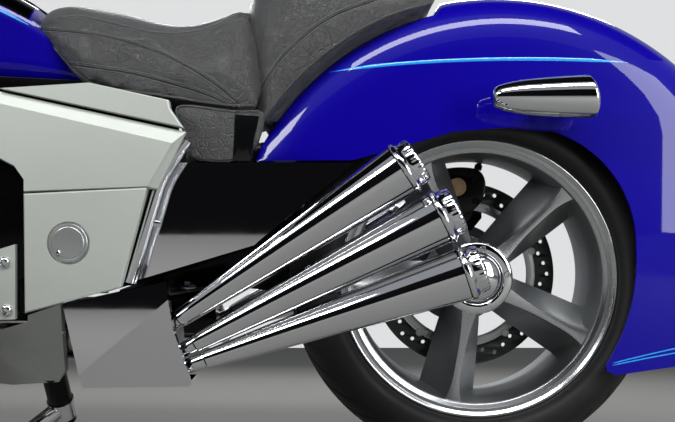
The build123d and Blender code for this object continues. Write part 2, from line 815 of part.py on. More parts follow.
# Swingarm on the right with its bevel drive housing and the fixed axle
drive_radius = 92
stand_bore_radius = 14
arm_inner = -104
arm_outer = -160
with BuildPart() as swingarm:
    side_plate(((540, 300), (585, 320), (585, 370), (540, 392), (60, 395), (20, 330), (70, 250)), arm_outer, arm_inner)
    side_plate(((520, 290), (640, 290), (640, 400), (520, 400)), arm_outer, arm_inner)
    cross_bar(0, rear_axle.Z, drive_radius, arm_outer, arm_inner, Mode.SUBTRACT)
    cross_bar(pivot_x, pivot_z, pivot_radius, arm_outer, arm_inner, Mode.SUBTRACT)
finish(swingarm, "swingarm")

with BuildPart() as final_drive:
    cross_bar(0, rear_axle.Z, drive_radius, arm_outer - 10, arm_inner)
    cross_bar(0, rear_axle.Z, 50, arm_outer - 24, arm_outer - 10)
    cross_bar(0, rear_axle.Z, stand_bore_radius, arm_outer - 30, arm_outer + 36, Mode.SUBTRACT)
finish(final_drive, "final_drive")

with BuildPart() as rear_axle_shaft:
    cross_bar(0, rear_axle.Z, rear_axle_radius, arm_inner, 28)
finish(rear_axle_shaft, "rear_axle")

# Rear caliper over the disc
with BuildPart() as rear_caliper:
    side_plate(((-60, 455), (40, 455), (44, 486), (20, 503), (-42, 503), (-64, 484)), rear_disc_y - 30, rear_disc_y + 22)
    side_plate(((-100, 400), (80, 400), (80, 489), (-100, 489)), rear_disc_y - 7.5, rear_disc_y + 7.5, Mode.SUBTRACT)
    side_plate(((-42, 488), (24, 488), (34, 395), (-42, 395)), arm_inner, rear_disc_y - 30)
finish(rear_caliper, "rear_caliper")

# Tail lamp, rear signals and plate holder
# The rearmost place of the fender, from which the lamp and the plate are placed
tail_x = fender_offset - fender_radius
with BuildPart() as tail_lamp:
    side_plate(
        (
            (tail_x + 125, 540), (tail_x + 31, 540), (tail_x + 23, 560),
            (tail_x + 59, 616), (tail_x + 85, 622), (tail_x + 125, 600),
        ),
        -66, 66,
    )
    add(fender_form.part, mode=Mode.SUBTRACT)
finish(tail_lamp, "tail_lamp")

signal_x = -80
signal_y = 172
signal_z = 596
signal_radius = 33
signal_length = 164


def signal(x, y, z):
    """A bullet-shaped lamp that points forward, with its lens at the rear."""
    with BuildSketch(Plane(origin=(x, y, z), x_dir=(1, 0, 0), z_dir=(0, -1, 0))) as half_outline:
        with BuildLine():
            Line((-signal_length / 2, 0), (-signal_length / 2, signal_radius))
            Line((-signal_length / 2, signal_radius), (0, signal_radius - 2))
            ThreePointArc((0, signal_radius - 2), (signal_length * 0.38, signal_radius * 0.6), (signal_length / 2, 0))
            Line((signal_length / 2, 0), (-signal_length / 2, 0))
        make_face()
    revolve(half_outline.sketch, axis=Axis((x, y, z), (1, 0, 0)))


with BuildPart() as rear_signal:
    signal(signal_x, signal_y, signal_z)
    bar((signal_x, fender_half, signal_z), (signal_x, signal_y, signal_z), 12)
finish_both(rear_signal, "rear_signals")

with BuildPart() as plate_holder:
    side_plate(((tail_x + 15, 330), (tail_x - 25, 330), (tail_x - 25, 342), (tail_x + 15, 342)), -12, 12)
    side_plate(((tail_x - 17, 250), (tail_x - 21, 250), (tail_x - 29, 370), (tail_x - 25, 370)), -90, 90)
    add(fender_form.part, mode=Mode.SUBTRACT)
finish(plate_holder, "plate_holder")

# Rider's pegs with their brackets, and the pedals
peg_x = 748
peg_z = 228
peg_inner = cover_y
peg_outer = 345
with BuildPart() as footpeg:
    cross_bar(peg_x, peg_z, 11, peg_inner, peg_outer)
    cross_bar(peg_x, peg_z, 17, peg_inner + 26, peg_outer)
    for ring in range(5):
        place = peg_inner + 36 + ring * 18
        cross_bar(peg_x, peg_z, 19, place, place + 8)
    cross_bar(peg_x, peg_z, 20, peg_inner, peg_inner + 12)
    add(lower_rail.part, mode=Mode.SUBTRACT)
finish_both(footpeg, "footpegs")

# Fork, clamps and what they carry
fork_top = 645
slider_top = 335
fender_boss_height = 283
lower_clamp = head_low - clamp_gap - clamp_thickness
upper_clamp = head_high + clamp_gap
axle_on_head = (front_axle - head_ground).dot(fork_up)
with BuildPart() as triple_clamps:
    for length in (lower_clamp, upper_clamp):
        base = on_head(length)
        with BuildSketch(Plane(origin=base, x_dir=(0, 1, 0), z_dir=fork_up)):
            SlotCenterToCenter(2 * fork_half, 80)
            with Locations((0, 15)):
                Rectangle(110, 90)
        extrude(amount=clamp_thickness)
    bar(on_head(lower_clamp), on_head(upper_clamp + clamp_thickness), stem_radius)
    for side in (1, -1):
        bar(on_fork(lower_clamp - axle_on_head - 5, side * fork_half), on_fork(fork_top + 5, side * fork_half), fork_tube_radius, Mode.SUBTRACT)
finish(triple_clamps, "triple_clamps")

with BuildPart() as fork_leg:
    bar(on_fork(slider_top, fork_half), on_fork(fork_top, fork_half), fork_tube_radius)
    bar(on_fork(slider_top - 22, fork_half), on_fork(slider_top, fork_half), fork_slider_radius + 4)
    bar(on_fork(-30, fork_half), on_fork(slider_top, fork_half), fork_slider_radius)
    bar(on_fork(fork_top, fork_half), on_fork(fork_top + 8, fork_half), fork_tube_radius - 6)
    cross_bar(front_axle.X, front_axle.Z, front_axle_radius, fork_half - 40, fork_half + 40, Mode.SUBTRACT)
finish_both(fork_leg, "fork_legs")

with BuildPart() as front_axle_shaft:
    cross_bar(front_axle.X, front_axle.Z, front_axle_radius, -fork_half - 36, fork_half + 36)
finish(front_axle_shaft, "front_axle")

front_fender_gap = 14
front_fender_start = 15
front_fender_arc = 150
with BuildPart() as front_fender:
    outer_half = front_tyre_width / 2 + 13
    outer_radius = front_tyre_radius + front_fender_gap + 4
    start = radians(front_fender_start)
    with BuildSketch(Plane(origin=front_axle, x_dir=(0, 1, 0), z_dir=(sin(start), 0, -cos(start)))):
        with BuildLine():
            Line((-outer_half, 255), (-outer_half, outer_radius - 30))
            ThreePointArc((-outer_half, outer_radius - 30), (0, outer_radius), (outer_half, outer_radius - 30))
            Line((outer_half, outer_radius - 30), (outer_half, 255))
            Line((outer_half, 255), (outer_half - 4, 255))
            Line((outer_half - 4, 255), (outer_half - 4, outer_radius - 34))
            ThreePointArc((outer_half - 4, outer_radius - 34), (0, outer_radius - 4), (4 - outer_half, outer_radius - 34))
            Line((4 - outer_half, outer_radius - 34), (4 - outer_half, 255))
            Line((4 - outer_half, 255), (-outer_half, 255))
        make_face()
    revolve(axis=Axis(front_axle, (0, -1, 0)), revolution_arc=front_fender_arc)
    boss = on_fork(fender_boss_height, 0)
    for side in (1, -1):
        inner, outer = sorted((side * (outer_half - 2), side * fork_half))
        cross_bar(boss.X, boss.Z, 16, inner, outer)
    add(fork_leg.part, mode=Mode.SUBTRACT)
    mirror(fork_leg.part, about=Plane.XZ, mode=Mode.SUBTRACT)
finish(front_fender, "front_fender")

bar_radius = 12.7
riser_height = 48
riser_half = 60
bar_centre = on_head(upper_clamp + clamp_thickness + riser_height)
# place along X, Y and Z of the left half of the handlebar, from the grip's end to the riser
bar_points = (
    (bar_centre.X - 306, 440, 985), (bar_centre.X - 216, 345, 1010), (bar_centre.X - 61, 230, 1022),
    (bar_centre.X, 110, bar_centre.Z),
)
with BuildPart() as handlebar:
    tube(bar_points + tuple((x, -y, z) for x, y, z in reversed(bar_points)), bar_radius, 50)
    for side in (1, -1):
        base = on_head(upper_clamp + clamp_thickness) + left_of_bike * side * riser_half
        bar(base, base + fork_up * riser_height, 14)
finish(handlebar, "handlebar")

lamp_x = head_middle.X + 141
lamp_z = head_middle.Z + 33
with BuildPart() as headlamp:
    with BuildSketch(Plane(origin=(lamp_x, 0, lamp_z), x_dir=(1, 0, 0), z_dir=(0, -1, 0))):
        with BuildLine():
            Polyline((-66, 0), (-66, 30), (-50, 58))
            ThreePointArc((-50, 58), (0, 85), (70, 95))
            Line((70, 95), (84, 95))
            dome((84, 95), 106)
            Line((106, 0), (-66, 0))
        make_face()
    revolve(axis=Axis((lamp_x, 0, lamp_z), (1, 0, 0)))
    lamp_arm = on_head(lower_clamp + clamp_thickness / 2) + forward_of_fork * 40
    bar(lamp_arm, lamp_arm + forward_of_fork * 60, 11)
finish(headlamp, "headlamp")

# Two round clocks on a plate that lies on the upper clamp
clock_radius = 41
clock_height = 46
clock_half = 45
clock_forward = 62
plate_thickness = 6
clamp_top = on_head(upper_clamp + clamp_thickness)
with BuildPart() as instruments:
    with BuildSketch(Plane(origin=clamp_top + forward_of_fork * clock_forward, x_dir=(0, 1, 0), z_dir=fork_up)):
        SlotCenterToCenter(2 * clock_half, 2 * clock_radius)
    extrude(amount=plate_thickness)
    for side in (1, -1):
        base = clamp_top + forward_of_fork * clock_forward + left_of_bike * side * clock_half
        turned(
            base + fork_up * plate_thickness, fork_up,
            (
                (0, 0), (0, clock_radius - 8), (clock_height - 14, clock_radius - 1), (clock_height, clock_radius - 1),
                (clock_height, clock_radius - 4), (clock_height - 3, clock_radius - 6), (clock_height - 3, 0),
            ),
        )
finish(instruments, "instruments")

# Grips, and the levers with their perches
grip_length = 114
grip_radius = 17
grip_end = Vector(*bar_points[0])
grip_along = (Vector(*bar_points[1]) - grip_end).normalized()
with BuildPart() as grip:
    turned(
        grip_end, grip_along,
        (
            (-8, 0), (-8, grip_radius - 3), (-5, grip_radius + 2), (0, grip_radius + 2), (2, grip_radius - 1),
            (grip_length / 2, grip_radius + 1), (grip_length - 8, grip_radius - 1), (grip_length - 6, grip_radius + 4),
            (grip_length, grip_radius + 4), (grip_length, bar_radius), (0, bar_radius), (0, 0),
        ),
    )
finish_both(grip, "grips")

bar_bend = Vector(*bar_points[1])
perch_along = (Vector(*bar_points[2]) - bar_bend).normalized()
perch = bar_bend + perch_along * 44
lever_forward = Vector(0.72, 0.69, -0.1).normalized()
with BuildPart() as lever:
    turned(perch, perch_along, ((0, bar_radius), (0, 19), (30, 19), (30, bar_radius)))
    pod = perch + perch_along * 32
    turned(pod, perch_along, ((0, bar_radius), (0, 18), (3, 22), (32, 22), (36, 18), (36, bar_radius)))
    knuckle = perch + perch_along * 15 + lever_forward * 52
    bar(perch + perch_along * 15 + lever_forward * 20, knuckle, 9)
    blade_end = grip_end + lever_forward * 62
    bend = grip_end + grip_along * (grip_length + 6) + lever_forward * 58
    tube((knuckle, bend, blade_end), 5.5, 30)
    with Locations(blade_end):
        Sphere(8)
    bar(knuckle - Vector(0, 0, 9), knuckle + Vector(0, 0, 9), 11)
    add(handlebar.part, mode=Mode.SUBTRACT)
finish_both(lever, "levers")

# Mirrors on stems that rise from the perches
mirror_centre = Vector(bar_centre.X - 191, 400, 1088)
mirror_radius = 62
with BuildPart() as rear_mirror:
    turned(
        mirror_centre, Vector(1, -0.12, 0).normalized(),
        (
            (0, 0), (0, mirror_radius - 3), (-2, mirror_radius - 2), (-2, mirror_radius), (6, mirror_radius + 1),
            (18, mirror_radius * 0.75), (26, mirror_radius * 0.4), (28, 0),
        ),
    )
    stem_foot = perch + perch_along * 15 + Vector(0, 0, 18.5)
    tube((stem_foot, stem_foot + Vector(3, 35, 48), mirror_centre + Vector(18, -15, -4)), 5.5, 14)
    add(lever.part, mode=Mode.SUBTRACT)
finish_both(rear_mirror, "mirrors")

# Front calipers, each straddling its disc behind a fork leg
caliper_gap = 7.5
caliper_inner = front_disc_y - 18
caliper_outer = front_disc_y + 22


def behind_fork(up, back):
    """The X and Z of a point above the axle along the fork and behind it."""
    point = front_axle + fork_up * up - forward_of_fork * back
    return (point.X, point.Z)


with BuildPart() as front_caliper:
    side_plate(
        (behind_fork(70, 98), behind_fork(60, 152), behind_fork(84, 168), behind_fork(134, 132), behind_fork(146, 88), behind_fork(120, 70)),
        caliper_inner, caliper_outer,
    )
    cross_bar(front_axle.X, front_axle.Z, front_disc_radius + 5, front_disc_y - caliper_gap, front_disc_y + caliper_gap, Mode.SUBTRACT)
    side_plate(
        (behind_fork(96, 8), behind_fork(86, 110), behind_fork(124, 110), behind_fork(126, 8)),
        front_disc_y + caliper_gap + 2, caliper_outer + 6,
    )
    add(fork_leg.part, mode=Mode.SUBTRACT)
finish_both(front_caliper, "front_calipers")

# Front signals on short stalks from the fork tubes
front_signal_place = on_fork(520, fork_half) + forward_of_fork * 10
with BuildPart() as front_signal:
    signal_centre = Vector(front_signal_place.X + 30, fork_half + 78, front_signal_place.Z)
    turned(
        signal_centre, Vector(1, 0, 0),
        (
            (-60, 0), (-58, 12), (-30, 26), (10, 33), (44, signal_radius), (46, signal_radius - 3), (52, signal_radius - 12), (54, 0),
        ),
    )
    bar((front_signal_place.X, fork_half, front_signal_place.Z), signal_centre, 9)
    bar(on_fork(505, fork_half), on_fork(535, fork_half), fork_tube_radius + 6)
    bar(on_fork(500, fork_half), on_fork(540, fork_half), fork_tube_radius, Mode.SUBTRACT)
finish_both(front_signal, "front_signals")

# Pedals: a toe lever ahead of each peg
toe_x = 868
toe_z = 262
with BuildPart() as foot_control:
    tube(((peg_x + 24, peg_inner + 10, peg_z - 6), (peg_x + 62, peg_inner + 22, peg_z - 10), (toe_x, peg_inner + 30, toe_z)), 7, 30)
    bar((toe_x, peg_inner + 24, toe_z), (toe_x, peg_inner + 78, toe_z), 11)
    bar((peg_x + 24, peg_inner, peg_z - 6), (peg_x + 24, peg_inner + 16, peg_z - 6), 13)
    add(footpeg.part, mode=Mode.SUBTRACT)
    add(lower_rail.part, mode=Mode.SUBTRACT)
finish_both(foot_control, "foot_controls")

# Side stand: a pivot bracket on the rail and a leg with a flat foot on the road
floor_up = Vector(0, -sin(radians(lean)), cos(radians(lean)))
foot_z = (stand_foot_y * sin(radians(lean)) - lift) / cos(radians(lean))
foot = Vector(stand_foot_x, stand_foot_y, foot_z)
pivot = Vector(*stand_pivot)
leg_down = (foot - pivot).normalized()
leg_back = Vector(-1, 0.03, -0.02).normalized()
stand_axis = leg_down.cross(leg_back).normalized()
with BuildPart() as side_stand:
    bar(pivot - stand_axis * stand_eye_width / 2, pivot + stand_axis * stand_eye_width / 2, stand_eye_radius)
    bar(pivot, foot + floor_up * foot_thickness, stand_tube_radius)
    with BuildSketch(Plane(origin=foot + floor_up * foot_thickness, x_dir=(1, 0, 0), z_dir=floor_up)):
        Rectangle(400, 400)
    extrude(amount=-80, mode=Mode.SUBTRACT)
    with BuildSketch(Plane(origin=foot, x_dir=(1, 0, 0), z_dir=floor_up)):
        SlotOverall(foot_length, foot_width)
    extrude(amount=foot_thickness)
    bar(pivot - stand_axis * 40, pivot + stand_axis * 40, stand_pin_radius + running_fit, Mode.SUBTRACT)
finish(side_stand, "side_stand")

with BuildPart() as stand_bracket:
    bar(pivot - stand_axis * 24, pivot + stand_axis * 24, stand_pin_radius)
    near = stand_eye_width / 2 + 1
    bar(pivot - stand_axis * near, pivot - stand_axis * (near + 9), stand_eye_radius - 2)
    bar(pivot + stand_axis * near, pivot + stand_axis * 64, stand_eye_radius - 2)
    add(lower_rail.part, mode=Mode.SUBTRACT)
finish(stand_bracket, "stand_bracket")

# The whole machine is leaned over to its left and set down on the road
box = Compound([piece.part.moved(Location((0, 0, lift), (-lean, 0, 0))) for piece in pieces]).bounding_box()
park = Location((-(box.min.X + box.max.X) / 2, -(box.min.Y + box.max.Y) / 2, lift), (-lean, 0, 0))
for piece in pieces:
    name = piece.part.label
    parked = piece.part.moved(park)
    parked.label = name
    export_step(parked, f"parts/{name}.step")

print("box", box.min, box.max)
print("park shift", park.position)
print("stand axis", stand_axis, "fold", leg_down.get_angle(leg_back))
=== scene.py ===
import bmesh
import bpy
import numpy as np
from math import cos, pi, radians, sin

from mathutils import Matrix, Vector
from mathutils.bvhtree import BVHTree
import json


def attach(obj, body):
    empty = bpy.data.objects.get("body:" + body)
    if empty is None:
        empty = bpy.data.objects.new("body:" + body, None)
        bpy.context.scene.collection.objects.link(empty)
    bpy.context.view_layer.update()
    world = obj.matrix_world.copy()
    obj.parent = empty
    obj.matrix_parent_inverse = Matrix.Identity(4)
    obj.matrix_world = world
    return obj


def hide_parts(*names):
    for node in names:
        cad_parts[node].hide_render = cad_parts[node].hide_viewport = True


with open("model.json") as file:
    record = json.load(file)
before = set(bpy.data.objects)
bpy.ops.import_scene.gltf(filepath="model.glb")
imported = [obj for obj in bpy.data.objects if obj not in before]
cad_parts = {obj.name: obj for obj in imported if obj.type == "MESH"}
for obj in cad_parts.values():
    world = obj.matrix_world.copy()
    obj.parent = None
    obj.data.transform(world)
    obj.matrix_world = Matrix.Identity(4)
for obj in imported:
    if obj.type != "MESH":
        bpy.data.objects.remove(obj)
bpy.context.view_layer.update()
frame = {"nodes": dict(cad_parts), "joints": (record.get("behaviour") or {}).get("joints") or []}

# Stance
# The machine leans on its side stand, so every place is worked out on the upright machine, in millimetres, with
# X forward from the rear axle, Y to the rider's left and Z up from the road, and then leaned with the rear axle.
rear_radius = 315
joint = {entry["name"]: entry for entry in frame["joints"]}
forward = np.array((1.0, 0.0, 0.0))
left = np.array(joint["rear_wheel_spin"]["axis"])
up = np.cross(forward, left)
axes = np.stack((forward, left, up))
road_point = np.array(joint["rear_wheel_spin"]["pos_m"]) - up * rear_radius / 1000
lean_angle = float(np.arctan2(-up[1], up[2]))


def parked(points):
    """Places of the upright machine in millimetres, as places of the parked one in metres."""
    return road_point + np.asarray(points, float) @ axes / 1000


def upright(place):
    """The upright machine's place, in millimetres, of a place of the parked one in metres."""
    return (np.asarray(place, float) - road_point) @ axes.T * 1000


rear_axle = upright(joint["rear_wheel_spin"]["pos_m"])
front_axle = upright(joint["front_wheel_spin"]["pos_m"])

# Camera
# A normal lens 1.25 m to the left of the rear wheel, a little above the axle, square to the machine.
view_place = (255.0, 1248.0, 391.0)
picture_width, picture_height = 675, 422
focal_pixels = 711
aim_shift = (13.5, 21.5)
picture_centre = (picture_width / 2 - aim_shift[0], picture_height / 2 + aim_shift[1])
lens_data = bpy.data.cameras.new("camera")
lens_data.sensor_width = 36
lens_data.lens = lens_data.sensor_width * focal_pixels / picture_width
lens_data.shift_x = aim_shift[0] / picture_width
lens_data.shift_y = aim_shift[1] / picture_width
lens_data.clip_start = 0.02
camera = bpy.data.objects.new("camera", lens_data)
bpy.context.scene.collection.objects.link(camera)
bpy.context.scene.camera = camera
camera_axes = np.eye(4)
camera_axes[:3] = np.stack((-forward, up, left, parked(view_place)), -1)
camera.matrix_world = Matrix(camera_axes.tolist())

# Floor, backdrop, cards and lamps
# A grey floor under a plain pale backdrop. Soft boxes hang over the machine, and dark cards out of view give the
# chrome its dark lines.
scene = bpy.context.scene
scene.view_settings.view_transform = "Standard"


def linear(code):
    """An sRGB hex colour as linear light: each part is (c + 0.055) / 1.055 to the power 2.4, or c / 12.92 when dark."""
    parts = [int(code[place:place + 2], 16) / 255 for place in (1, 3, 5)]
    return [c / 12.92 if c <= 0.04045 else ((c + 0.055) / 1.055) ** 2.4 for c in parts] + [1.0]


def add_node(tree, kind, inputs=None, ramp=(), **settings):
    """Adds a shader node with its settings, and a ramp's colours. Each input is a value, or the node or output that is
    linked to it: a node stands for its first output."""
    made = tree.nodes.new("ShaderNode" + kind)
    for name, value in settings.items():
        setattr(made, name, value)
    for name, value in (inputs or {}).items():
        value = value.outputs[0] if isinstance(value, bpy.types.Node) else value
        if isinstance(value, bpy.types.NodeSocket):
            tree.links.new(value, made.inputs[name])
        else:
            made.inputs[name].default_value = value
    for place, code in enumerate(ramp):
        made.color_ramp.elements[place].color = linear(code)
    return made


def new_material(name):
    """An empty material and its node tree."""
    made = bpy.data.materials.new(name)
    made.use_nodes = True
    made.node_tree.nodes.clear()
    return made, made.node_tree


def stage_sheet(name, corners, colour, shown):
    """A flat sheet of the studio. Sheets that aren't shown to the camera are cards."""
    material, tree = new_material(name)
    flat_paint = add_node(tree, "BsdfDiffuse", {"Color": linear(colour)})
    add_node(tree, "OutputMaterial", {"Surface": flat_paint})
    mesh = bpy.data.meshes.new(name)
    mesh.from_pydata(corners, [], [(0, 1, 2, 3)])
    mesh.materials.append(material)
    made = bpy.data.objects.new(name, mesh)
    scene.collection.objects.link(made)
    made.visible_camera = shown


stage_sheet("floor", ((-9, -9, 0), (9, -9, 0), (9, 9, 0), (-9, 9, 0)), "#80807d", True)
stage_sheet("dark_card", ((-4, 2.6, 0.0), (4, 2.6, 0.0), (4, 2.9, 1.7), (-4, 2.9, 1.7)), "#101012", False)
stage_sheet("dark_ceiling", ((-4, -1.0, 3.3), (4, -1.0, 3.3), (4, 1.4, 3.3), (-4, 1.4, 3.3)), "#18181c", False)

world = bpy.data.worlds.new("studio")
scene.world = world
world.use_nodes = True
tree = world.node_tree
tree.nodes.clear()
path = add_node(tree, "LightPath")
seen = add_node(
    tree, "Math", {0: path.outputs["Is Camera Ray"], 1: path.outputs["Is Transmission Ray"]}, operation="MAXIMUM"
)
soft = add_node(tree, "Background", {"Color": linear("#c9ccd2"), "Strength": 0.5})
pale = add_node(tree, "Background", {"Color": linear("#e4e5e6"), "Strength": 0.95})
mixed = add_node(tree, "MixShader", {0: seen, 1: soft, 2: pale})
add_node(tree, "OutputWorld", {"Surface": mixed})

# Name, place, aim, width, depth and watts of each soft box
soft_boxes = (
    ("key_box", (-0.9, 1.9, 2.5), (-0.5, 0.0, 0.4), 2.6, 0.5, 70),
    ("side_box", (1.7, 2.0, 1.9), (0.0, 0.0, 0.4), 1.6, 0.45, 45),
    ("back_box", (-0.6, -2.0, 2.2), (-0.4, 0.0, 0.6), 3.0, 0.6, 70),
    ("low_box", (-1.9, 1.3, 0.7), (-0.8, 0.0, 0.35), 0.5, 1.1, 16),
)
for name, place, aim, width, depth, watts in soft_boxes:
    lamp = bpy.data.lights.new(name, "AREA")
    lamp.shape = "RECTANGLE"
    lamp.size = width
    lamp.size_y = depth
    lamp.energy = watts
    box_object = bpy.data.objects.new(name, lamp)
    scene.collection.objects.link(box_object)
    away = np.array(place) - np.array(aim)
    box_object.rotation_mode = "QUATERNION"
    box_object.rotation_quaternion = Vector(away).to_track_quat("Z", "Y")
    box_object.location = place


# Rear tyre
# A radial tyre 180 mm wide: matt black rubber with sipes cut slantwise into both shoulders of its round tread.
# The section is a soft outline turned about the axle, and each sipe presses the tread in by its depth.
def unit(vectors):
    """Vectors of length one: each over its own length."""
    vectors = np.asarray(vectors, float)
    return vectors / np.linalg.norm(vectors, axis=-1, keepdims=True)


def turned(profile, origin, along, steps=96):
    """A profile of lengths and radii turned about a line: each point is the origin, plus its length along the line,
    plus its radius in each direction around it."""
    along = unit(along)
    side = unit(np.cross(along, (0.0, 0.0, 1.0) if abs(along[2]) < 0.9 else (1.0, 0.0, 0.0)))
    turn = np.linspace(0, 2 * pi, steps, endpoint=False)[:, None]
    ring = np.cos(turn) * side + np.sin(turn) * np.cross(along, side)
    length, radius = np.asarray(profile, float).T
    return np.asarray(origin) + length[None, :, None] * along + radius[None, :, None] * ring[:, None, :]


def spun(profile, origin, along, steps=96, ring=False):
    """A turned profile as a patch of a piece. A ring's profile closes on itself, and another ends on its line."""
    return turned(profile, origin, along, steps), True, ring


def softened(points, times, closed=False):
    """Cuts the corners of an outline: each edge keeps the points at a quarter and three quarters of it."""
    points = np.asarray(points, float)
    for _ in range(times):
        following = np.roll(points, -1, 0) if closed else points[1:]
        here = points if closed else points[:-1]
        cut = np.stack((here * 0.75 + following * 0.25, here * 0.25 + following * 0.75), 1).reshape(-1, points.shape[1])
        points = cut if closed else np.vstack((points[:1], cut, points[-1:]))
    return points


def piece(name, body, slot, material, *patches, replaces=(), sharp=32):
    """One mesh object from grids of upright places. A patch is (grid, rows join, columns join): where they join, the
    last row or column meets the first. Faces point outwards, and edges over the sharp angle stay crisp."""
    places, quads, start = [], [], 0
    for grid, rows_join, columns_join in patches:
        index = start + np.arange(grid.shape[0] * grid.shape[1]).reshape(grid.shape[:2])
        if rows_join:
            index = np.vstack((index, index[:1]))
        if columns_join:
            index = np.hstack((index, index[:, :1]))
        quads.append(np.stack((index[:-1, :-1], index[1:, :-1], index[1:, 1:], index[:-1, 1:]), -1).reshape(-1, 4))
        places.append(parked(grid.reshape(-1, 3)))
        start += grid.shape[0] * grid.shape[1]
    mesh = bpy.data.meshes.new(name)
    mesh.from_pydata(np.concatenate(places), [], np.concatenate(quads))
    return finished(name, body, material, mesh, replaces, sharp)


def finished(name, body, material, mesh, replaces=(), sharp=32):
    """Merges a mesh's seams, turns its faces outwards, and makes it a piece that rides on its body."""
    work = bmesh.new()
    work.from_mesh(mesh)
    bmesh.ops.remove_doubles(work, verts=work.verts, dist=2e-6)
    bmesh.ops.dissolve_degenerate(work, edges=work.edges, dist=1e-6)
    bmesh.ops.recalc_face_normals(work, faces=work.faces)
    work.to_mesh(mesh)
    work.free()
    mesh.shade_smooth()
    mesh.set_sharp_from_angle(angle=radians(sharp))
    mesh.materials.append(material)
    made = bpy.data.objects.new(name, mesh)
    scene.collection.objects.link(made)
    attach(made, body)
    if replaces:
        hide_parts(*replaces)
    return made


def object_coordinates(tree, scale=(1, 1, 1), centre=None):
    """Object coordinates of the upright machine, scaled, and centred on an upright place if one is given."""
    texture_place = add_node(tree, "TexCoord")
    moved = add_node(
        tree, "Mapping",
        {
            "Vector": texture_place.outputs["Object"],
            "Location": [float(-v) for v in (parked(centre) if centre is not None else (0, 0, 0))],
        },
    )
    return add_node(tree, "Mapping", {"Vector": moved, "Rotation": (lean_angle, 0, 0), "Scale": scale})


# Vulcanised rubber, moulded: grey-black with a fine cloudy bloom and a low, wide gloss
rubber, tree = new_material("vulcanised_rubber")
place = object_coordinates(tree)
bloom = add_node(tree, "TexNoise", {"Vector": place, "Scale": 22, "Detail": 5})
grain = add_node(tree, "TexNoise", {"Vector": place, "Scale": 900, "Detail": 2})
shade = add_node(tree, "ValToRGB", {"Fac": bloom}, ramp=("#080809", "#121213"))
gloss = add_node(tree, "MapRange", {"Value": bloom, "To Min": 0.55, "To Max": 0.78})
relief = add_node(tree, "Bump", {"Height": grain, "Strength": 0.35, "Distance": 0.0004})
surface = add_node(tree, "BsdfPrincipled", {"Base Color": shade, "Roughness": gloss, "Normal": relief})
add_node(tree, "OutputMaterial", {"Surface": surface})

crown = 105
bead_depth = 13
rim_sizes = {
    "rear": {"radius": 315, "width": 180, "rim": 230, "rim_width": 152, "sipes": 38},
    "front": {"radius": 319, "width": 150, "rim": 243, "rim_width": 118, "sipes": 40},
}
sipe_depth = 4.5
sipe_slant = 0.022
sipe_share = 0.075
groove_place, groove_half = 24, 3.2
tread_share = 0.86
around_steps = 560


def far_side(section):
    """The same section of lengths and radii beyond the wheel's middle, run the other way."""
    return [(-y, r) for y, r in reversed(section)]


def tyre_grid(axle, radius, width, rim, rim_width, sipes):
    """The tyre's section, a round crown with soft shoulders and beads, turned about the axle. Where a sipe's slanted
    phase, the turn times the number of sipes plus the slant times the distance from the middle, is near a half,
    the tread lies lower by the sipe's depth, and so does a groove round each shoulder."""
    half = width / 2
    bead = rim_width / 2 - 5
    reach = np.arcsin(tread_share * half / crown)
    tread = [(crown * np.sin(a), radius - crown + crown * np.cos(a)) for a in np.linspace(-reach, reach, 29)]
    low = tread[-1][1]
    side = [
        (half * 0.965, low * 0.72 + rim * 0.28), (half, low * 0.45 + rim * 0.55),
        (half * 0.99, low * 0.25 + rim * 0.75), (half * 0.92, rim + 7), (bead + 3, rim + 4), (bead + 1, rim - 1),
        (bead, rim - 3), (bead, rim - bead_depth), (bead - 12, rim - bead_depth), (half - 24, rim + 22),
    ]
    inner = [(half - 24, low - 14), (0, radius - 12), (24 - half, low - 14)]
    y, r = softened(tread + side + inner + far_side(side), 1, closed=True).T
    turn = np.linspace(0, 2 * pi, around_steps, endpoint=False)[:, None]
    across = crown * np.arcsin(np.clip(y / crown, -1, 1))
    phase = (turn * sipes / (2 * pi) + sipe_slant * np.abs(across) + 0.5 * (across > 0)) % 1
    in_sipe = np.clip(1 - np.abs(phase - 0.5) / sipe_share, 0, 1) ** 0.5
    long_enough = np.clip((np.abs(across) - 10) / 5, 0, 1) * np.clip((crown * reach - 3 - np.abs(across)) / 5, 0, 1)
    groove = np.clip(1 - np.abs(np.abs(across) - groove_place) / groove_half, 0, 1) ** 0.5
    spread = r - sipe_depth * np.maximum(in_sipe * long_enough, groove) * (r > low - 1)
    return axle + np.stack((spread * np.cos(turn), np.broadcast_to(y, spread.shape), spread * np.sin(turn)), -1)


for end, axle in (("rear", rear_axle), ("front", front_axle)):
    piece(
        f"{end}_tyre_tread", f"{end}_wheel", "tyre", rubber,
        (tyre_grid(axle, *rim_sizes[end].values()), True, True), replaces=(f"{end}_tyre",), sharp=40,
    )

# Cast wheels
# Five cast spokes in grey satin lacquer. Each one's front ridge and the rim's lip are machined bright afterwards, so
# the ridge flares at both ends into the hub and the lip while darker flanks fall away behind it.
sideways = (0, 1, 0)


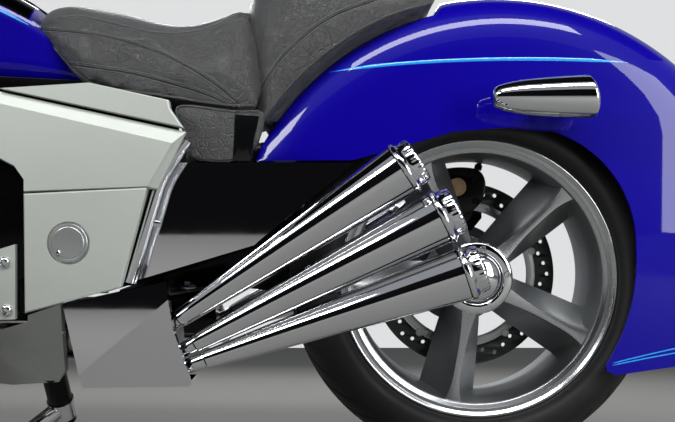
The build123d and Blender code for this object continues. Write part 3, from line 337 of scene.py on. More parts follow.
def metal(name, colour, roughness, brush_scale, brush_depth, coat=0.0, variation=0.08, metallic=1.0):
    """A metal whose gloss varies along its working marks: the marks are noise that is drawn out by its scale."""
    material, tree = new_material(name)
    marks = add_node(tree, "TexNoise", {"Vector": object_coordinates(tree, brush_scale), "Scale": 1, "Detail": 3})
    cloud = add_node(tree, "TexNoise", {"Vector": object_coordinates(tree), "Scale": 9, "Detail": 3})
    uneven = add_node(tree, "Math", {0: marks, 1: cloud}, operation="MULTIPLY")
    gloss = add_node(
        tree, "MapRange",
        {"Value": uneven, "From Max": 0.5, "To Min": roughness - variation, "To Max": roughness + variation},
    )
    relief = add_node(tree, "Bump", {"Height": marks, "Strength": 0.5, "Distance": brush_depth})
    surface = add_node(tree, "BsdfPrincipled", {
        "Base Color": linear(colour), "Metallic": metallic, "Roughness": gloss, "Normal": relief,
        "Coat Weight": coat, "Coat Roughness": 0.06,
    })
    add_node(tree, "OutputMaterial", {"Surface": surface})
    return material


# Cast aluminium under satin lacquer: grey, with a soft sheen that rolls over the flanks
lacquered_casting = metal("lacquered_casting", "#939697", 0.42, (160, 160, 160), 0.00005, coat=0.15)


def lathe_turned(name, axle, colour, roughness):
    """A metal faced on a lathe: fine rings whose height is noise of the distance from the axle."""
    material, tree = new_material(name)
    flat = object_coordinates(tree, (1, 0, 1), centre=axle)
    distance = add_node(tree, "VectorMath", {0: flat}, operation="LENGTH")
    rings = add_node(
        tree, "TexNoise", {"W": distance.outputs["Value"], "Scale": 900, "Detail": 2}, noise_dimensions="1D"
    )
    gloss = add_node(tree, "MapRange", {"Value": rings, "To Min": roughness - 0.06, "To Max": roughness + 0.08})
    relief = add_node(tree, "Bump", {"Height": rings, "Strength": 0.25, "Distance": 0.00004})
    surface = add_node(tree, "BsdfPrincipled", {
        "Base Color": linear(colour), "Metallic": 1.0, "Roughness": gloss, "Normal": relief,
        "Coat Weight": 0.3, "Coat Roughness": 0.05,
    })
    add_node(tree, "OutputMaterial", {"Surface": surface})
    return material


turned_aluminium = {
    end: lathe_turned("turned_aluminium_" + end, axle, "#c3c5c8", 0.2)
    for end, axle in (("rear", rear_axle), ("front", front_axle))
}
lip_depth = 21
waist_start, flare_start = 0.55, 0.72
spoke_count = 5
spoke_start = {"rear": 65, "front": 90}
# Ridge half width at the hub, waist and rim, back half width at hub and rim, front place at hub, waist and rim, back
spoke_shape = {
    "rear": {"ridge": (15, 5.5, 13), "back": (30, 49), "front": (57, 53, 61), "rear": -24, "hub": 58},
    "front": {"ridge": (12, 5, 11), "back": (18, 34), "front": (42, 40, 47), "rear": -36, "hub": 34},
}


def three_point(values, share):
    """A parabola through values at the start, middle and end of a share from 0 to 1."""
    start, middle, end = values
    return start * (2 * share - 1) * (share - 1) + 4 * middle * share * (1 - share) + end * share * (2 * share - 1)


def rim_profile(rim, rim_width):
    """The rim's section in places across the wheel and radii: rolled lips, bead seats, safety humps and drop centre."""
    half = rim_width / 2
    lip_inner = rim - lip_depth
    face = [
        (half - 5, rim - 3), (half - 4, rim - 0.6), (half - 1.5, rim), (half - 0.2, rim - 1.6), (half - 0.6, rim - 4),
        (half - 5, rim - 9), (half - 9.5, lip_inner + 3), (half - 11, lip_inner),
    ]
    barrel = [(half - 16, lip_inner - 1.5), (half - 30, lip_inner - 5), (half * 0.2, lip_inner - 6)]
    seat = [(half - 5, rim - 14), (half - 26, rim - 14), (half - 30, rim - 19), (half * 0.15, rim - 19)]
    return face, barrel, seat


def closed_ends(rows):
    """Adds a first and a last row gathered at the middle, so that a bar or pad is closed."""
    first, last = rows[:1].mean(1, keepdims=True), rows[-1:].mean(1, keepdims=True)
    shape = (1,) + rows.shape[1:]
    return np.concatenate((np.broadcast_to(first, shape), rows, np.broadcast_to(last, shape)))


for end, axle in (("rear", rear_axle), ("front", front_axle)):
    size = rim_sizes[end]
    shape = spoke_shape[end]
    face, barrel, seat = rim_profile(size["rim"], size["rim_width"])
    half = size["rim_width"] / 2
    lip = face + [(half - 12.5, face[-1][1] + 1.5), (half - 7, size["rim"] - 6)]
    piece(
        f"{end}_rim_lips", f"{end}_wheel", "wheel_metal", turned_aluminium[end],
        *[spun(softened(section, 2, True), axle, sideways, 200, True) for section in (lip, far_side(lip))],
    )
    spoke_side = [(half - 11.5, face[-1][1] - 0.5)] + barrel
    tyre_side = [(4 - half, size["rim"] - 4)] + far_side(seat) + seat[::-1] + [(half - 4, size["rim"] - 4)]
    piece(
        f"{end}_rim_barrel", f"{end}_wheel", "wheel_metal", lacquered_casting,
        spun(spoke_side + far_side(spoke_side) + tyre_side, axle, sideways, 200, True), replaces=(f"{end}_rim",),
    )
    reach = np.linspace(0, 1, 36)
    start_radius = shape["hub"] - 14
    end_radius = size["rim"] - lip_depth - 2
    radius = start_radius + (end_radius - start_radius) * reach
    waist = np.clip((waist_start - reach) / waist_start, 0, 1) ** 2
    flare = np.clip((reach - flare_start) / (1 - flare_start), 0, 1) ** 2.2
    ridge = shape["ridge"][1] + (shape["ridge"][0] - shape["ridge"][1]) * waist
    ridge = ridge + (shape["ridge"][2] - shape["ridge"][1]) * flare
    front = three_point(shape["front"], reach)
    wide = shape["back"][0] + (shape["back"][1] - shape["back"][0]) * reach ** 0.8
    share = np.linspace(0, 1, 9)[None, :]
    flank_across = ridge[:, None] + 1.5 + (wide - ridge - 1.5)[:, None] * share ** 1.2
    flank_place = (front - 2)[:, None] + (shape["rear"] + 8 - front + 2)[:, None] * share ** 0.9
    back_end = np.stack((wide - 5, np.full_like(wide, shape["rear"])), -1)[:, None, :]
    flank = np.stack((flank_across, flank_place), -1)
    half_section = np.concatenate((np.stack((ridge, front), -1)[:, None, :], flank, back_end), 1)
    section = np.concatenate((half_section, half_section[:, ::-1] * (-1, 1)), 1)
    bright = np.stack(
        [
            np.stack((ridge * w, front + h), -1)
            for w, h in ((-1.0, -0.8), (-0.97, 0.25), (-0.5, 0.5), (0, 0.6), (0.5, 0.5), (0.97, 0.25), (1.0, -0.8))
        ],
        1,
    )
    spokes, faces = [], []
    for number in range(spoke_count):
        angle = radians(spoke_start[end] + number * 360 / spoke_count)
        out = np.array((cos(angle), 0, sin(angle)))
        across = np.array((sin(angle), 0, -cos(angle)))
        for grids, flat in ((spokes, section), (faces, bright)):
            places = axle + radius[:, None, None] * out + flat[..., :1] * across + flat[..., 1:] * sideways
            grids.append((closed_ends(places), False, True))
    hub = shape["hub"]
    hub_back = -64 if end == "rear" else -46
    hub_front = shape["front"][0] - 3
    hub_profile = [
        (hub_back, 0), (hub_back, hub - 6), (hub_back + 8, hub),
        (hub_front - 4, hub), (hub_front, hub - 4), (hub_front, 0),
    ]
    spokes.append(spun(hub_profile, axle, sideways))
    piece(f"{end}_spokes", f"{end}_wheel", "wheel_metal", lacquered_casting, *spokes, sharp=25)
    piece(f"{end}_spoke_ridges", f"{end}_wheel", "wheel_metal", turned_aluminium[end], *faces, sharp=25)

# Hub cap
# A chrome ring with five socket screws midway between the spokes, round a domed chrome cap.
cap_screw_circle = 50
# Polished chrome, a mirror with hardly any haze, and blackened steel, dull with a faint light on its edges
chrome = metal("polished_chrome", "#e6e7ea", 0.035, (30, 30, 30), 0.00001, variation=0.015)
black_steel = metal("blackened_steel", "#1a1b1d", 0.4, (200, 200, 200), 0.00003)


def screw(head_centre, along, radius, height):
    """A socket screw's head: a short turned cylinder with a rounded rim and a hole for the key."""
    profile = [
        (0, 0), (0, radius), (height - 0.8, radius), (height, radius - 0.8), (height, radius * 0.55),
        (height * 0.4, radius * 0.5), (height * 0.4, 0),
    ]
    return spun(profile, head_centre, along, 18)


rear_front = spoke_shape["rear"]["front"][0]
cap_ring = np.array([(-6, 43), (1, 60), (4, 60.5), (7, 57), (7.5, 45), (4, 42)]) + (rear_front, 0)
dome_profile = [(rear_front - 2, 0), (rear_front - 2, 41)]
dome_profile += [(rear_front + 3 + 17 * sin(a), 41 * cos(a)) for a in np.linspace(0, pi / 2, 15)]
screws = []
for number in range(spoke_count):
    angle = radians(spoke_start["rear"] + (number + 0.5) * 360 / spoke_count)
    place = rear_axle + (cap_screw_circle * cos(angle), rear_front + 5.5, cap_screw_circle * sin(angle))
    screws.append(screw(place, sideways, 5.2, 4))
piece(
    "rear_hub_dome", "rear_wheel", "chrome", chrome, spun(softened(cap_ring, 2, True), rear_axle, sideways, 128, True),
    spun(dome_profile, rear_axle, sideways, 128), replaces=("rear_hub_cap",),
)
piece("rear_hub_screws", "rear_wheel", "chrome", chrome, *screws)

# Brake discs
# Steel rings, cross drilled in a repeating row of three, on a silver carrier with five arms and ten floating buttons.
# A flat curve with holes is filled, thickened and softened at its edges.


def vertices(mesh):
    """The places of a mesh's vertices."""
    flat = np.empty(len(mesh.vertices) * 3)
    mesh.vertices.foreach_get("co", flat)
    return flat.reshape(-1, 3)


def place_vertices(mesh, places):
    """Moves a mesh's vertices to places."""
    mesh.vertices.foreach_set("co", np.asarray(places, float).ravel())
    mesh.update()


def drilled(name, body, material, centre, y, thickness, outlines, replaces=()):
    """A flat plate square to the axles from outlines of X and Z about its centre: the first is its edge, and the
    others are holes."""
    curve = bpy.data.curves.new(name, "CURVE")
    curve.dimensions = "2D"
    curve.fill_mode = "BOTH"
    curve.extrude = thickness / 2 - 0.35
    curve.bevel_depth = 0.35
    curve.bevel_resolution = 1
    for outline in outlines:
        spline = curve.splines.new("POLY")
        spline.points.add(len(outline) - 1)
        flat = np.zeros((len(outline), 4), np.float32)
        flat[:, :2] = outline
        flat[:, 3] = 1
        spline.points.foreach_set("co", flat.ravel())
        spline.use_cyclic_u = True
    holder = bpy.data.objects.new(name + "_outline", curve)
    mesh = bpy.data.meshes.new_from_object(holder)
    bpy.data.objects.remove(holder)
    bpy.data.curves.remove(curve)
    x, z, depth = vertices(mesh).T
    place_vertices(mesh, parked(np.stack((centre[0] + x, y + depth, centre[2] + z), -1)))
    return finished(name, body, material, mesh, replaces, 30)


def circle(radius, steps=72, at=(0, 0)):
    """Points around a circle in a plane."""
    turn = np.linspace(0, 2 * pi, steps, endpoint=False)
    return np.stack((at[0] + radius * np.cos(turn), at[1] + radius * np.sin(turn)), -1)


# Ground steel, whose marks catch the light in arcs round the axle, and satin alloy, which is even and pale
disc_steel = {
    "rear": lathe_turned("ground_steel_rear", rear_axle, "#3b3c3d", 0.3),
    "front": lathe_turned("ground_steel_front", front_axle, "#5a5b5d", 0.3),
}
carrier_alloy = metal("satin_carrier", "#b4b7b8", 0.3, (80, 80, 80), 0.00003)
disc_thickness = 5
hole_count, button_count = 48, 10
# Wheel, place across, outer radius and the nodes that the disc stands for
discs = (
    ("rear", -66, 168, ("rear_disc",)),
    ("front", 72, 165, ("front_discs",)),
    ("front", -72, 165, ()),
)
for number, (end, y, radius, stands_for) in enumerate(discs):
    axle = rear_axle if end == "rear" else front_axle
    holes = []
    for hole in range(hole_count):
        angle = hole * 2 * pi / hole_count
        out = radius - (12, 23, 17)[hole % 3]
        holes.append(circle(4, 14, (out * cos(angle), out * sin(angle))))
    drilled(
        f"{end}_disc_ring_{number}", f"{end}_wheel", disc_steel[end], axle, y, disc_thickness,
        [circle(radius, 160), circle(radius - 33, 120)] + holes, stands_for,
    )
    windows = []
    for window in range(spoke_count):
        turn = np.linspace(0.13, 2 * pi / spoke_count - 0.13, 16) + window * 2 * pi / spoke_count
        outer = np.stack(((radius - 49) * np.cos(turn), (radius - 49) * np.sin(turn)), -1)
        inner = np.stack((70 * np.cos(turn[::-1]), 70 * np.sin(turn[::-1])), -1)
        windows.append(np.vstack((outer, inner)))
    drilled(
        f"{end}_disc_carrier_{number}", f"{end}_wheel", carrier_alloy, axle, y, disc_thickness - 1,
        [circle(radius - 34, 120), circle(27 if end == "rear" else 16, 48)] + windows,
    )
    buttons = []
    for button in range(button_count):
        angle = (button + 0.5) * 2 * pi / button_count
        place = axle + ((radius - 33.5) * cos(angle), y - 3.2, (radius - 33.5) * sin(angle))
        buttons.append(spun([(0, 0), (0, 6), (0.8, 7), (5.6, 7), (6.4, 6), (6.4, 0)], place, sideways, 20))
    piece(f"{end}_disc_buttons_{number}", f"{end}_wheel", "brake_steel", carrier_alloy, *buttons)

# Rear caliper
# A two-piece body cast in aluminium and painted black, over the disc, with a bronze piston cap and four tie bolts.
# Its edges are rounded as a sand casting's are: each layer of the outline steps in towards the middle.


def slab(outline, low, high, rounding, plane=((1, 0, 0), (0, 1, 0), (0, 0, 1)), origin=(0, 0, 0)):
    """A plate with rounded rims from an outline of two coordinates, between two places along its third direction.
    By default the outline is X and Z, and the plate's thickness runs along Y."""
    outline = np.asarray(outline, float)
    middle = outline.mean(0)
    inwards = unit(middle - outline)
    closing = np.repeat(middle[None], len(outline), 0)
    rows = [(closing, low)]
    for start, turns, way in ((low, np.linspace(0, pi / 2, 4), 1), (high, np.linspace(pi / 2, 0, 4), -1)):
        for turn in turns:
            rows.append((outline + inwards * rounding * (1 - sin(turn)), start + way * rounding * (1 - cos(turn))))
    rows.append((closing, high))
    along, across, second = np.asarray(plane, float)
    grid = [
        np.asarray(origin) + flat[:, :1] * along + flat[:, 1:] * second + place * across for flat, place in rows
    ]
    return np.array(grid), False, True


# Black paint over a sand casting, pebbled with a soft gloss, and a warm anodised aluminium
painted_casting = metal("black_painted_casting", "#0c0c0d", 0.42, (260, 260, 260), 0.00012, coat=0.35)
bronze = metal("bronze_anodised_cap", "#9a8466", 0.38, (300, 300, 300), 0.00004)
disc_y = -66
caliper_outline = softened([
    (-36, 452), (-41, 482), (-30, 506), (4, 511), (42, 507), (63, 490), (66, 452), (52, 420), (20, 414), (-16, 428),
], 2, True)
piece(
    "rear_caliper_body", "chassis", "black_metal", painted_casting,
    slab(caliper_outline, disc_y - 30, disc_y - 9, 3), slab(caliper_outline, disc_y + 9, disc_y + 22, 3),
    slab(softened([(-34, 488), (-28, 507), (40, 506), (58, 490), (40, 488)], 1, True), disc_y - 28, disc_y + 20, 2),
    slab(softened([(-42, 488), (24, 488), (34, 395), (-42, 395)], 1, True), -104, disc_y - 24, 2),
    replaces=("rear_caliper",),
)
piston_cap = [(0, 0), (0, 17), (3.2, 17), (4, 16), (4, 12.5), (3.2, 12), (3.2, 5), (4.4, 4.4), (4.4, 0)]
piston_place = (13.3, disc_y + 20, 473.7)
piece("rear_piston_cap", "chassis", "brake_steel", bronze, spun(piston_cap, piston_place, sideways, 40))
caliper_bolts = [screw((x, disc_y + 20, z), sideways, 6, 6) for x, z in ((-18, 486), (44, 490), (48, 444), (-22, 448))]
hose_union = [(0, 0), (0, 7), (9, 7), (9, 4.5), (22, 4.5), (24, 3), (24, 0)]
piece(
    "rear_caliper_bolts", "chassis", "black_metal", black_steel, *caliper_bolts,
    spun(hose_union, (-26, disc_y + 12, 506), (-0.3, 0, 1), 20),
)

# Front calipers
# Black castings on lugs behind the fork legs: the CAD's own form, under the same paint as the rear one.


def dress(material, *nodes):
    """Gives CAD nodes that keep their shape a material in place of the plain one."""
    for node in nodes:
        mesh = frame["nodes"][node].data
        mesh.materials.clear()
        mesh.materials.append(material)


dress(painted_casting, "front_calipers")

# Rear fender
# One deep steel pressing round the wheel, in candy blue under clear lacquer, with a black liner. Its section is a
# superellipse, which is flat down the sides and round over the top, carried round the fender's own centre.
fender_centre = np.array((-30.0, 315.0))
fender_half = 115
fender_radius = 475
fender_side = 360
fender_deck = 442.5
fender_wall = 4
liner_gap, liner_wall = 0.6, 1.2
roundness = 2.6


def arc_points(first, second, third, steps=24):
    """Points on the circle through three places, from the first to the last."""
    (ax, ay), (bx, by), (cx, cy) = first, second, third
    d = 2 * (ax * (by - cy) + bx * (cy - ay) + cx * (ay - by))
    ux = ((ax**2 + ay**2) * (by - cy) + (bx**2 + by**2) * (cy - ay) + (cx**2 + cy**2) * (ay - by)) / d
    uy = ((ax**2 + ay**2) * (cx - bx) + (bx**2 + by**2) * (ax - cx) + (cx**2 + cy**2) * (bx - ax)) / d
    start, end = np.arctan2(ay - uy, ax - ux), np.arctan2(cy - uy, cx - ux)
    middle = np.arctan2(by - uy, bx - ux)
    if ((middle - start) % (2 * pi)) < ((end - start) % (2 * pi)):
        sweep = (end - start) % (2 * pi)
    else:
        sweep = -((start - end) % (2 * pi))
    turn = start + np.linspace(0, sweep, steps)
    radius = np.hypot(ax - ux, ay - uy)
    return np.stack((ux + radius * np.cos(turn), uy + radius * np.sin(turn)), -1)


def line_distance(points):
    """The distance along a line from its start to each of its points: the sum of its runs so far."""
    return np.concatenate(([0], np.cumsum(np.linalg.norm(np.diff(points, axis=0), axis=1))))


def at_distance(wanted, distance, values):
    """A line's values at wanted distances along it."""
    return np.stack([np.interp(wanted, distance, column) for column in values.T], -1)


def dense(points, step=3.0):
    """An outline with points added along its straight runs."""
    points = np.asarray(points, float)
    distance = line_distance(points)
    return at_distance(np.linspace(0, distance[-1], max(2, int(distance[-1] / step))), distance, points)


def polar(points):
    """Turn and distance of upright X and Z places about the fender's centre."""
    away = np.asarray(points, float) - fender_centre
    return np.arctan2(away[..., 1], away[..., 0]) % (2 * pi), np.hypot(away[..., 0], away[..., 1])


arch_edge = np.vstack((
    [(400, 506), (210, 506), (160, 520), (110, 534), (48, 552), (-30, 558)],
    arc_points((-110, 552), (-205, 485), (-243, 365)), arc_points((-243, 365), (-231, 258), (-194, 178)), [(-196, 170)],
))
arch_turn, arch_radius = polar(dense(arch_edge))
hem_turn, hem_radius = polar(dense([(-196, 170), (-207, 163), (-304, 177), (-600, 228)]))
front_turn = radians(26.0)
deck_end = radians(76.0)
crown_start = radians(79.5)


def fender_width(radius, inset=0.0):
    """Half the fender's width at a distance from its centre: the superellipse solved for the width."""
    rise = np.clip((radius - fender_side) / (fender_radius - fender_side), 0, 1)
    return (fender_half - inset) * (1 - rise**roundness) ** (1 / roundness)


def fender_grid(inset):
    """Places of the fender's skin in rows along its turn. In each row the flat side rises from the arch's edge, and the
    rest follows the superellipse over the top. Under the seats the top is cut flat at the deck, and each row's turn
    ends on the hem, which it meets by stepping to it a few times."""
    rows = np.linspace(0, 1, 190)[:, None]
    side = np.linspace(0, 1, 9)[None, :-1]
    turn_over = np.linspace(0, pi / 2, 29)[None, :]
    count = side.shape[1] + turn_over.shape[1]
    turn = np.broadcast_to(front_turn + (hem_turn.min() - front_turn) * rows, (len(rows), count)).copy()
    for _ in range(8):
        edge = np.interp(turn, arch_turn, arch_radius)
        low = np.minimum(edge, fender_side)
        first = np.arcsin(np.clip((edge - fender_side) / (fender_radius - fender_side), 0, 1) ** (roundness / 2))
        over = first[:, side.shape[1]:] + (pi / 2 - first[:, side.shape[1]:]) * turn_over / (pi / 2)
        over_radius = fender_side + (fender_radius - fender_side) * np.sin(over) ** (2 / roundness)
        over_width = fender_half * np.maximum(np.cos(over), 0) ** (2 / roundness)
        flat_radius = low[:, :side.shape[1]] + (fender_side - low[:, :side.shape[1]]) * side
        flat_radius = np.where(edge[:, :side.shape[1]] > fender_side, edge[:, :side.shape[1]], flat_radius)
        radius = np.concatenate((flat_radius, over_radius), 1)
        width = np.concatenate((fender_width(flat_radius), over_width), 1)
        end = np.interp(radius, hem_radius, hem_turn)
        turn = front_turn + (end - front_turn) * rows
    share = np.clip((turn - deck_end) / (crown_start - deck_end), 0, 1)
    cap = fender_deck + (fender_radius - fender_deck) * share
    radius = np.minimum(radius, cap)
    if inset:
        width = width * (fender_half - inset) / fender_half
        radius = radius - inset * np.clip((radius - 330) / 60, 0, 1)
    place = round_fender(radius, turn, width)
    return np.concatenate((place, place[:, -2::-1] * (1, -1, 1)), 1)


def round_fender(radius, turn, across):
    """The upright places of turns and distances about the fender's centre, the reverse of polar."""
    return np.stack((fender_centre[0] + radius * np.cos(turn), across, fender_centre[1] + radius * np.sin(turn)), -1)


def walled(outside, inside):
    """A sheet's patches: its outside, the two rims across it, the two along it, and its inside."""
    rims = [np.stack((outside[k], inside[k])) for k in (0, -1)]
    rims += [np.stack((outside[:, k], inside[:, k])) for k in (0, -1)]
    return [(grid, False, False) for grid in (outside, *rims, inside[:, ::-1])]


# Candy blue under clear lacquer: the colour lies deep and matt below, and all the gloss is the lacquer's
candy_blue, tree = new_material("candy_blue_lacquer")
flake = add_node(tree, "TexVoronoi", {"Vector": object_coordinates(tree), "Scale": 2600})
cloud = add_node(tree, "TexNoise", {"Vector": object_coordinates(tree), "Scale": 3, "Detail": 2})
tone = add_node(tree, "ValToRGB", {"Fac": cloud}, ramp=("#09007c", "#0b0092"))
relief = add_node(tree, "Bump", {"Height": flake, "Strength": 0.06, "Distance": 0.0002})
surface = add_node(tree, "BsdfPrincipled", {
    "Base Color": tone, "Roughness": 0.4, "Specular IOR Level": 0.05, "Normal": relief,
    "Coat Weight": 1.0, "Coat Roughness": 0.02, "Coat IOR": 1.36,
})
add_node(tree, "OutputMaterial", {"Surface": surface})
# Stove enamel, black: smooth, with a soft gloss
black_enamel = metal("black_stove_enamel", "#060607", 0.3, (120, 120, 120), 0.00003, coat=0.4)
piece(
    "rear_fender_skin", "chassis", "paint", candy_blue, *walled(fender_grid(0), fender_grid(fender_wall)),
    replaces=("rear_fender",), sharp=45,
)
liner_depth = fender_wall + liner_gap
piece(
    "rear_fender_liner", "chassis", "black_plastic", black_enamel,
    *walled(fender_grid(liner_depth), fender_grid(liner_depth + liner_wall)), sharp=45,
)

# Pinstripes
# Light blue lines painted by hand on both sides: one along the shoulder, tapered at both ends, and a double one above
# the rear hem. Each is a thin band that stands a third of a millimetre off the skin.
stripe_paint, tree = new_material("pinstripe_enamel")
grain = add_node(tree, "TexNoise", {"Vector": object_coordinates(tree), "Scale": 240, "Detail": 2})
gloss = add_node(tree, "MapRange", {"Value": grain, "To Min": 0.2, "To Max": 0.34})
surface = add_node(tree, "BsdfPrincipled", {
    "Base Color": linear("#1a96ee"), "Roughness": gloss, "Coat Weight": 0.8, "Coat Roughness": 0.03,
})
add_node(tree, "OutputMaterial", {"Surface": surface})
stripe_lift = 0.35


def fender_band(x, z, half_width):
    """A closed strip on both sides of the fender along a line of X and Z, as wide as twice the half width."""
    line = np.stack((x, z), -1)
    run = unit(np.gradient(line, axis=0))
    across = np.stack((-run[:, 1], run[:, 0]), -1)
    share = np.array((-1, -0.9, 0, 0.9, 1))
    lift = np.array((0.02, stripe_lift, stripe_lift, stripe_lift, 0.02))
    flat = line[:, None] + across[:, None] * (share[None, :, None] * half_width[:, None, None])
    out = fender_width(polar(flat)[1]) + lift
    return [(np.stack((flat[..., 0], side * out, flat[..., 1]), -1), False, False) for side in (1, -1)]


upper_front, upper_rear, upper_taper = 246, -230, 60
lower_front, lower_rear = -205, -452
stripe_x = np.linspace(upper_front, upper_rear, 140)
stripe_z = 667.5 - 1.836e-4 * (stripe_x + 65) ** 2
taper = np.clip((upper_front - stripe_x) / upper_taper, 0.12, 1)
taper = taper * np.clip((stripe_x - upper_rear + 5) / upper_taper, 0.12, 1)
lower_x = np.linspace(lower_front, lower_rear, 90)
from_front = lower_front - lower_x
lower_z = 181 + 0.237 * from_front - 2.0e-4 * from_front**2
spread = 1.6 + 2.4 * np.clip(from_front / 120, 0, 1)
thin = 0.95 * np.clip(from_front / 8, 0.2, 1) * np.clip((lower_x - lower_rear + 3) / 30, 0.2, 1)
piece(
    "rear_fender_stripes", "chassis", "paint", stripe_paint, *fender_band(stripe_x, stripe_z, 2.7 * taper),
    *fender_band(lower_x, lower_z + spread, thin), *fender_band(lower_x, lower_z - spread, thin), sharp=60,
)

# Front fender
# The same pressing in small, which follows the front tyre over its top. Each end stops 15 degrees above level, and
# chromed bosses fix it to the fork legs.
front_half = 88
front_top = 336.8
front_side = 285
front_low = 255
front_wall = 4
fender_steps = np.radians(np.linspace(15, 165, 120))[:, None]
rake = radians(29)
fork_up = np.array((-sin(rake), 0, cos(rake)))


def front_skin(inset):
    """Rows round the front axle of a section with flat sides and a superellipse over the top."""
    over = np.linspace(0, pi / 2, 25)
    rise = front_side + (front_top - inset - front_side) * np.sin(over) ** (2 / roundness)
    wide = (front_half - inset) * np.maximum(np.cos(over), 0) ** (2 / roundness)
    radius = np.concatenate((np.linspace(front_low, front_side, 5)[:-1], rise))
    width = np.concatenate((np.full(4, front_half - inset), wide))
    radius, width = np.concatenate((radius, radius[-2::-1])), np.concatenate((width, -width[-2::-1]))
    place = np.stack(np.broadcast_arrays(radius * np.cos(fender_steps), width, radius * np.sin(fender_steps)), -1)
    return front_axle + place


def rod(low, high, radius):
    """The profile of a plain cylinder between two lengths."""
    return [(low, 0), (low, radius), (high, radius), (high, 0)]


boss_place = front_axle + 283 * fork_up
bosses = [spun(rod(84, 97, 16), boss_place, (0, side, 0), 32) for side in (1, -1)]
piece(
    "front_fender_skin", "front_end", "paint", candy_blue, *walled(front_skin(0), front_skin(front_wall)),
    replaces=("front_fender",), sharp=45,
)
piece("front_fender_bosses", "front_end", "chrome", chrome, *bosses)

# Exhaust
# Three cones a side rolled from steel and chromed. Each ends in a seam, a rolled bead and a turned tip whose rim is
# fluted: the rim's radius is eased in by a cosine of twenty-eight waves a turn.
cones = (((465, 266), (147, 478)), ((441, 230), (94, 411)), ((425, 206), (60, 333)))
cone_small, cone_big = 13.5, 38
cone_small_y, cone_big_y = 208, 250
flutes, flute_steps, flute_depth = 28, 168, 0.028
cone_patches, seam_patches, bore_patches = [], [], []
for side in (1, -1):
    for (small_x, small_z), (big_x, big_z) in cones:
        small = np.array((small_x, side * cone_small_y, small_z))
        big = np.array((big_x, side * cone_big_y, big_z))
        length = np.linalg.norm(big - small)
        along = (big - small) / length
        body = [(-55, 0), (-55, cone_small - 2), (-2.5, cone_small - 2), (-1, cone_small - 1), (0, cone_small)]
        body += [(length * k / 12, cone_small + (cone_big - cone_small) * k / 12) for k in range(1, 13)]
        body += [(length + 0.4, cone_big - 1.6), (length, 0)]
        cone_patches.append(spun(body, small, along, 120))
        rolled = [(length + 0.9, 0), (length + 0.9, cone_big - 1.6)]
        rolled += [(length + 5.4 - 4.3 * cos(a), cone_big - 0.4 + 2.9 * sin(a)) for a in np.linspace(0, pi, 11)]
        rolled += [(length + 11.5, cone_big - 2.2), (length + 13, cone_big - 3.4), (length + 13.4, 26)]
        cone_patches.append(spun(rolled, small, along, 120))
        tip = (length, cone_big) + softened(np.array([
            (13.2, -4), (24, -4.2), (28.5, -6), (29.8, -8.5), (29, -10.5), (22, -12.5), (-58, -16),
        ]), 2)
        ring = turned(tip, small, along, flute_steps)
        line = small + tip[None, :, :1] * along
        wave = 0.5 - 0.5 * np.cos(np.arange(flute_steps) * 2 * pi * flutes / flute_steps)[:, None, None]
        fluted = np.clip((tip[:, 0] - length - 15) / 6, 0, 1)[None, :, None]
        cone_patches.append((line + (ring - line) * (1 - flute_depth * wave * fluted), True, False))
        seam_patches.append(spun(rod(length - 0.2, length + 1.2, cone_big - 1.7), small, along))
        bore_patches.append(spun(rod(length - 61, length - 58, 22), small, along, 48))
piece(
    "exhaust_cone_bodies", "chassis", "chrome", chrome, *cone_patches,
    replaces=("exhaust_cones_left", "exhaust_cones_right"), sharp=28,
)
# Soot, which swallows the light in the pipes, and chrome that heat has turned slightly warm and hazy
soot = metal("sooted_steel", "#0a0a0a", 0.7, (90, 90, 90), 0.0002)
piece("exhaust_seams", "chassis", "black_metal", black_enamel, *seam_patches)
piece("exhaust_baffles", "chassis", "black_metal", soot, *bore_patches)
blued_steel = metal("heat_tinted_chrome", "#cfc9c2", 0.09, (40, 40, 40), 0.00002)
dress(blued_steel, "header_pipes")
dress(black_enamel, "exhaust_chambers")

# Chrome side panels, faceted covers and posts
# Pressed steel, polished and chromed: flat faces between crisp creases, which mirror the studio.
dress(chrome, "chrome_panels", "faceted_covers", "frame_posts", "side_stand", "rear_axle", "front_axle", "handlebar")

# Frame covers
# Aluminium sheet, folded at its bevels, brushed along the machine and anodised clear.
brushed = metal(
    "brushed_anodised_aluminium", "#bfc4be", 0.6, (14, 500, 900), 0.00012, coat=0.06, variation=0.06, metallic=0.72
)
dress(brushed, "frame_covers_left", "frame_covers_right")
cap_place = np.array((621.0, 226.0, 376.0))
cap_radius = 28
key_place = (635.5, 362.3)
# Spun aluminium: fine rings about the cap's own middle
spun_cap = lathe_turned("spun_aluminium_cap", cap_place, "#d9dbdc", 0.34)
cap_profile = [
    (0, 0), (0, cap_radius - 0.4), (5, cap_radius - 0.4), (5.6, cap_radius - 1), (5.8, cap_radius - 3.6),
    (5.4, cap_radius - 4.4), (5.4, cap_radius - 5), (6.4, cap_radius - 5.8), (6.6, cap_radius - 8), (6.6, 0),
]
lock_profile = [(0, 0), (0, 3.6), (1, 3.6), (1.4, 3.1), (1.4, 2.2), (0.6, 2), (0.6, 0)]
head = [(0, 0), (0, 8), (1.2, 8.2), (3.4, 7), (4.8, 4.6), (5, 3.4), (2.6, 3), (2.6, 0)]
bolt_places = ((715.4, 348.5), (712.3, 279.4))
caps, locks, keyholes, bolts = [], [], [], []
for side in (1, -1):
    outwards = (0, side, 0)
    lock = (key_place[0], side * 232.4, key_place[1])
    caps.append(spun(cap_profile, cap_place * (1, side, 1), outwards))
    locks.append(spun(lock_profile, lock, outwards, 28))
    keyholes.append(spun(rod(0, 1.2, 1.5), lock, outwards, 16))
    bolts += [spun(head, (x, side * 224, z), outwards, 36) for x, z in bolt_places]
piece("access_cap_discs", "chassis", "brushed_aluminium", spun_cap, *caps, replaces=("access_caps",))
piece("access_cap_locks", "chassis", "chrome", chrome, *locks)
